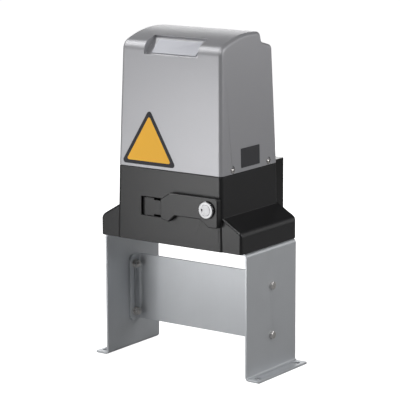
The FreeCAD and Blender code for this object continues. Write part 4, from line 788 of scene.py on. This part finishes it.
class GATEMOTOR_OT_stand(bpy.types.Operator):
    """Bent steel legs, cross plate and their bolts"""

    bl_idname = "gate_motor.stand"
    bl_label = "Stand"

    def execute(self, context):
        sizes = context.scene.gate_motor_sizes
        eased_copy("left_leg", "left_leg", "stand zinc", sizes.sheet_edge)
        eased_copy("right_leg", "right_leg", "stand zinc", sizes.sheet_edge)
        eased_copy("cross_plate", "cross_sheet", "stand zinc", sizes.sheet_edge)
        form = hex_bolt_form("cross bolt", across=0.010, head=CROSS_BOLT_HEAD, shank=0.003, length=0.0145,
                             pitch=0.001)
        places = seats(spots("cross_plate_bolts"), CROSS_BOLT_HEAD)
        set_out("cross_bolt_set", form, places, "bolt zinc", "stand", ["cross_plate_bolts"])
        dress_node("cross_plate_nuts", "bolt zinc")
        form = hex_bolt_form("base bolt", across=0.013, head=BASE_BOLT_HEAD, shank=0.004, length=0.020,
                             pitch=sizes.thread_pitch, washer_radius=0.008, washer=0.0016)
        places = seats(spots("base_bolts"), BASE_BOLT_HEAD, (0, 0, -1))
        set_out("base_bolt_set", form, places, "bolt zinc", "stand", ["base_bolts", "base_washers"])
        return {"FINISHED"}


class GATEMOTOR_OT_lever(bpy.types.Operator):
    """Release lever, hinge pin and lock"""

    bl_idname = "gate_motor.lever"
    bl_label = "Release lever"

    def execute(self, context):
        sizes = context.scene.gate_motor_sizes
        eased_copy("release_lever", "lever", "lever black", sizes.lever_edge)
        eased_copy("lock_body", "lock_rim", "polished chrome", FINE_EDGE)
        eased_copy("lock_plug", "lock_face", "satin nickel", FINE_EDGE)
        for node, finish in (("lever_hinge_pin", "turned steel"), ("lock_cam", "bolt zinc"),
                             ("lock_nut", "bolt zinc")):
            dress_node(node, finish)
        return {"FINISHED"}


def drawn_in(outline, border, radius):
    """Inner outline of a three-sided label, an even border inside the outer one, with rounded corners."""
    count = len(outline)
    ways = [outline[(k + 1) % count] - outline[k] for k in range(count)]
    sides = sorted(sorted(range(count), key=lambda k: -ways[k].length)[:3])
    inner = [None] * count
    for order, arriving in enumerate(sides):
        leaving = sides[(order + 1) % 3]
        first, second = ways[arriving].normalized(), ways[leaving].normalized()
        here = outline[arriving] + Vector((-first.y, first.x)) * (border + radius)
        there = outline[leaving] + Vector((-second.y, second.x)) * (border + radius)
        centre = here + first * ((there - here).cross(second) / first.cross(second))
        for step in range((leaving - arriving) % count):
            k = (arriving + 1 + step) % count
            along = (ways[k - 1].normalized() + ways[k].normalized()).normalized()
            inner[k] = centre + Vector((along.y, -along.x)) * radius
    return inner


def label_form(name, outline, inner):
    """Thin plate with a softened front edge, with an inner field that takes the second finish."""
    form = bmesh.new()
    back, shoulder = ([form.verts.new((p.x, p.y, height)) for p in outline]
                      for height in (0.0, LABEL_THICKNESS - PLATE_EDGE))
    middle = sum(outline, Vector((0, 0))) / len(outline)
    drawn = [p - (p - middle).normalized() * PLATE_EDGE for p in outline]
    front, field = ([form.verts.new((p.x, p.y, LABEL_THICKNESS)) for p in points]
                    for points in (drawn, inner))
    for near, far in ((back, shoulder), (shoulder, front), (front, field)):
        walls(form, near, far)
    form.faces.new(list(reversed(back)))
    form.faces.new(field).material_index = 1
    return finished_form(name, form, math.radians(25.0))


def place_mesh(mesh, origin, x_axis, y_axis):
    """Move a mesh drawn in X and Y to a plane in space."""
    normal = x_axis.cross(y_axis)
    turn = Matrix((x_axis, y_axis, normal)).transposed().to_4x4()
    mesh.transform(Matrix.Translation(origin) @ turn)


def flat_side(node, towards):
    """Normal of a thin node's largest side that faces a direction, and the rim of that side in order."""
    form = merged_form(node)
    facing = [face for face in form.faces if face.normal.dot(towards) > 0.9]
    if not facing:
        raise RuntimeError(node + " has no side that way")
    normal = max(facing, key=lambda face: face.calc_area()).normal.copy()
    side = {face for face in facing if face.normal.dot(normal) > 0.999}
    onward = {}
    for face in side:
        for loop in face.loops:
            if not any(other in side for other in loop.edge.link_faces if other != face):
                onward[loop.vert] = loop.edge.other_vert(loop.vert)
    start = min(onward, key=lambda vert: (round(vert.co.z, 6), vert.co.x))
    rim = [start.co.copy()]
    vert = onward[start]
    while vert != start:
        rim.append(vert.co.copy())
        vert = onward[vert]
    form.free()
    return normal, rim


class GATEMOTOR_OT_labels(bpy.types.Operator):
    """Badge plate, triangular front label and rating plate, all left blank"""

    bl_idname = "gate_motor.labels"
    bl_label = "Labels"

    def execute(self, context):
        sizes = context.scene.gate_motor_sizes
        normal, rim = flat_side("front_label", Vector((0, -1, 0)))
        up = (Vector((0, 0, 1)) - normal * normal.z).normalized()
        across = up.cross(normal)
        foot = rim[0]
        outline = [Vector(((point - foot).dot(across), (point - foot).dot(up))) for point in rim]
        mesh = label_form("front_label", outline, drawn_in(outline, sizes.label_border, LABEL_CORNER))
        place_mesh(mesh, foot - normal * LABEL_THICKNESS, across, up)
        piece = new_object("front_label", mesh, ["navy rim", "amber film"])
        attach(piece, "stand")
        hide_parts("front_label")
        eased_copy("badge_plate", "badge", "badge silver", FINE_EDGE)
        eased_copy("rating_plate", "blank_rating_plate", "dark plate", 0.0001, 1)
        return {"FINISHED"}


class GATEMOTOR_OT_drive(bpy.types.Operator):
    """Worm drive, release clutch and pinion"""

    bl_idname = "gate_motor.drive"
    bl_label = "Worm drive and pinion"

    def execute(self, context):
        for node, finish in (("worm_wheel", "wheel bronze"), ("worm_shaft", "motor shaft steel"),
                             ("output_shaft", "turned steel"), ("shaft_keys", "turned steel"),
                             ("shaft_bearings", "bearing steel"), ("shaft_seal", "seal rubber"),
                             ("clutch_dog", "pinion steel"), ("clutch_spring", "spring steel"),
                             ("release_fork", "turned steel")):
            dress_node(node, finish)
        eased_copy("drive_pinion", "pinion", "pinion steel", 0.0003)
        form = hex_bolt_form("pinion bolt", across=0.013, head=PINION_BOLT_HEAD, shank=0.004, length=0.0165,
                             pitch=context.scene.gate_motor_sizes.thread_pitch, washer_radius=0.014,
                             washer=0.0025)
        low, high = (Vector(c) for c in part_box("pinion_bolt"))
        places = seats([(low, high)], PINION_BOLT_HEAD, (0, 1, 0))
        set_out("pinion_bolt_and_washer", form, places, "bolt zinc", "output", ["pinion_bolt"])
        return {"FINISHED"}


class GATEMOTOR_OT_motor(bpy.types.Operator):
    """Electric motor on its plate"""

    bl_idname = "gate_motor.motor"
    bl_label = "Electric motor"

    def execute(self, context):
        for node, finish in (("motor_plate", "cast alloy"), ("motor_plate_screws", "bolt zinc"),
                             ("motor_shell", "cast alloy"), ("motor_end_cap", "cast alloy"),
                             ("motor_tie_bolts", "bolt zinc"), ("stator_core", "laminated core"),
                             ("stator_windings", "copper wire"), ("rotor_core", "laminated core"),
                             ("motor_bearings", "bearing steel")):
            dress_node(node, finish)
        return {"FINISHED"}


class GATEMOTOR_OT_electrics(bpy.types.Operator):
    """Control board, transformer and other electrics"""

    bl_idname = "gate_motor.electrics"
    bl_label = "Electrics"

    def execute(self, context):
        for node, finish in (("board_bracket", "bracket zinc"), ("control_board", "circuit board"),
                             ("terminal_block", "terminal green"), ("transformer", "varnished iron"),
                             ("run_capacitor", "capacitor white"), ("limit_sensor", "sensor black")):
            dress_node(node, finish)
        return {"FINISHED"}


# Stage
def floor_material(name, colour):
    """Pale floor that the camera sees white, and that throws little light back at the object."""
    seen, bounce, glow = 1.0, 0.35, 0.06
    material, tree, shader = material_start(name)
    clouds = effect(tree, "Broad clouds", Colour=rgba(colour), Scale=0.7, Amount=0.02)
    ray = add(tree, "ShaderNodeLightPath")
    mix = add(tree, "ShaderNodeMix", data_type="RGBA")
    mix.inputs["A"].default_value = (bounce, bounce, bounce, 1.0)
    tree.links.new(ray.outputs["Is Camera Ray"], mix.inputs["Factor"])
    tree.links.new(clouds.outputs["Colour"], mix.inputs["B"])
    tree.links.new(mix.outputs["Result"], shader.inputs["Base Color"])
    shine = add(tree, "ShaderNodeMath", operation="MULTIPLY_ADD")
    tree.links.new(ray.outputs["Is Camera Ray"], shine.inputs[0])
    shine.inputs[1].default_value = seen - glow
    shine.inputs[2].default_value = glow
    shader.inputs["Emission Color"].default_value = (1.0, 1.0, 1.0, 1.0)
    tree.links.new(shine.outputs[0], shader.inputs["Emission Strength"])
    shader.inputs["Roughness"].default_value = 0.8
    shader.inputs["Specular IOR Level"].default_value = 0.1
    return material


def away(azimuth, elevation):
    """Direction seen from the front turned by an azimuth to the right and raised by an elevation."""
    a, e = math.radians(azimuth), math.radians(elevation)
    return Vector((math.sin(a) * math.cos(e), -math.cos(a) * math.cos(e), math.sin(e)))


def soft_light(name, azimuth, elevation, distance, width, height, power):
    """Even light from a white sheet that faces the stage's middle."""
    data = bpy.data.lights.new(name, "AREA")
    data.shape = "RECTANGLE"
    data.size = width
    data.size_y = height
    data.energy = power
    light = bpy.data.objects.new(name, data)
    way = away(azimuth, elevation)
    light.location = Vector(STAGE_MIDDLE) + way * distance
    light.rotation_euler = (-way).to_track_quat("-Z", "Y").to_euler()
    bpy.context.scene.collection.objects.link(light)


class GATEMOTOR_OT_stage(bpy.types.Operator):
    """Pale floor, soft lights and the camera"""

    bl_idname = "gate_motor.stage"
    bl_label = "Stage"

    def execute(self, context):
        tone = context.scene.gate_motor_colours
        form = bmesh.new()
        lathe(form, [(0, 0.0), (FLOOR_RADIUS, 0.0)], 64)
        mesh = finished_form("studio_floor", form)
        if mesh.polygons[0].normal.z < 0:
            mesh.flip_normals()
        mesh.materials.append(floor_material("floor white", tone.floor))
        floor = bpy.data.objects.new("studio_floor", mesh)
        context.scene.collection.objects.link(floor)
        for light in LIGHTS:
            soft_light(*light)

        world = bpy.data.worlds.new("studio air")
        world.use_nodes = True
        tree = world.node_tree
        background = tree.nodes["Background"]
        background.inputs["Color"].default_value = (1.0, 1.0, 1.0, 1.0)
        ray = add(tree, "ShaderNodeLightPath")
        strength = add(tree, "ShaderNodeMath", operation="MAXIMUM")
        tree.links.new(ray.outputs["Is Camera Ray"], strength.inputs[0])
        strength.inputs[1].default_value = AIR_LIGHT
        tree.links.new(strength.outputs[0], background.inputs["Strength"])
        context.scene.world = world
        context.scene.view_settings.view_transform = "Standard"

        azimuth, elevation, roll = CAMERA_TURNS
        back_way = away(azimuth, elevation)
        right = Vector((0, 0, 1)).cross(back_way).normalized()
        up = back_way.cross(right)
        tilt = Matrix.Rotation(math.radians(roll), 3, back_way)
        data = bpy.data.cameras.new("photo_camera")
        data.sensor_width = SENSOR_WIDTH
        data.lens = FOCAL_LENGTH
        data.clip_end = 50.0
        camera = bpy.data.objects.new("photo_camera", data)
        turn = Matrix((tilt @ right, tilt @ up, back_way)).transposed().to_4x4()
        camera.matrix_world = Matrix.Translation(CAMERA_PLACE) @ turn
        context.scene.collection.objects.link(camera)
        context.scene.camera = camera
        return {"FINISHED"}


class GATEMOTOR_PT_panel(bpy.types.Panel):
    """Lists the pieces of the gate motor"""

    bl_idname = "GATEMOTOR_PT_panel"
    bl_label = "Gate Motor"
    bl_space_type = "VIEW_3D"
    bl_region_type = "UI"
    bl_category = "Gate Motor"

    def draw(self, context):
        layout = self.layout
        for group in (context.scene.gate_motor_sizes, context.scene.gate_motor_colours):
            column = layout.column(align=True)
            for key in group.bl_rna.properties.keys():
                if key not in ("rna_type", "name"):
                    column.prop(group, key)
        for operator in OPERATORS:
            layout.operator(operator.bl_idname)


OPERATORS = (
    GATEMOTOR_OT_cover,
    GATEMOTOR_OT_base,
    GATEMOTOR_OT_stand,
    GATEMOTOR_OT_lever,
    GATEMOTOR_OT_labels,
    GATEMOTOR_OT_drive,
    GATEMOTOR_OT_motor,
    GATEMOTOR_OT_electrics,
    GATEMOTOR_OT_stage,
)
CLASSES = (GateMotorSizes, GateMotorColours) + OPERATORS + (GATEMOTOR_PT_panel,)


def register():
    """Make the operators, the panel and the settings known to Blender."""
    for item in CLASSES:
        bpy.utils.register_class(item)
    bpy.types.Scene.gate_motor_sizes = PointerProperty(type=GateMotorSizes)
    bpy.types.Scene.gate_motor_colours = PointerProperty(type=GateMotorColours)


def unregister():
    """Take away what register made known."""
    del bpy.types.Scene.gate_motor_colours
    del bpy.types.Scene.gate_motor_sizes
    for item in reversed(CLASSES):
        bpy.utils.unregister_class(item)


def main():
    """Dress the frame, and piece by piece."""
    register()
    bpy.ops.gate_motor.cover()
    bpy.ops.gate_motor.base()
    bpy.ops.gate_motor.stand()
    bpy.ops.gate_motor.lever()
    bpy.ops.gate_motor.labels()
    bpy.ops.gate_motor.drive()
    bpy.ops.gate_motor.motor()
    bpy.ops.gate_motor.electrics()
    bpy.ops.gate_motor.stage()


if __name__ == "__main__":
    main()
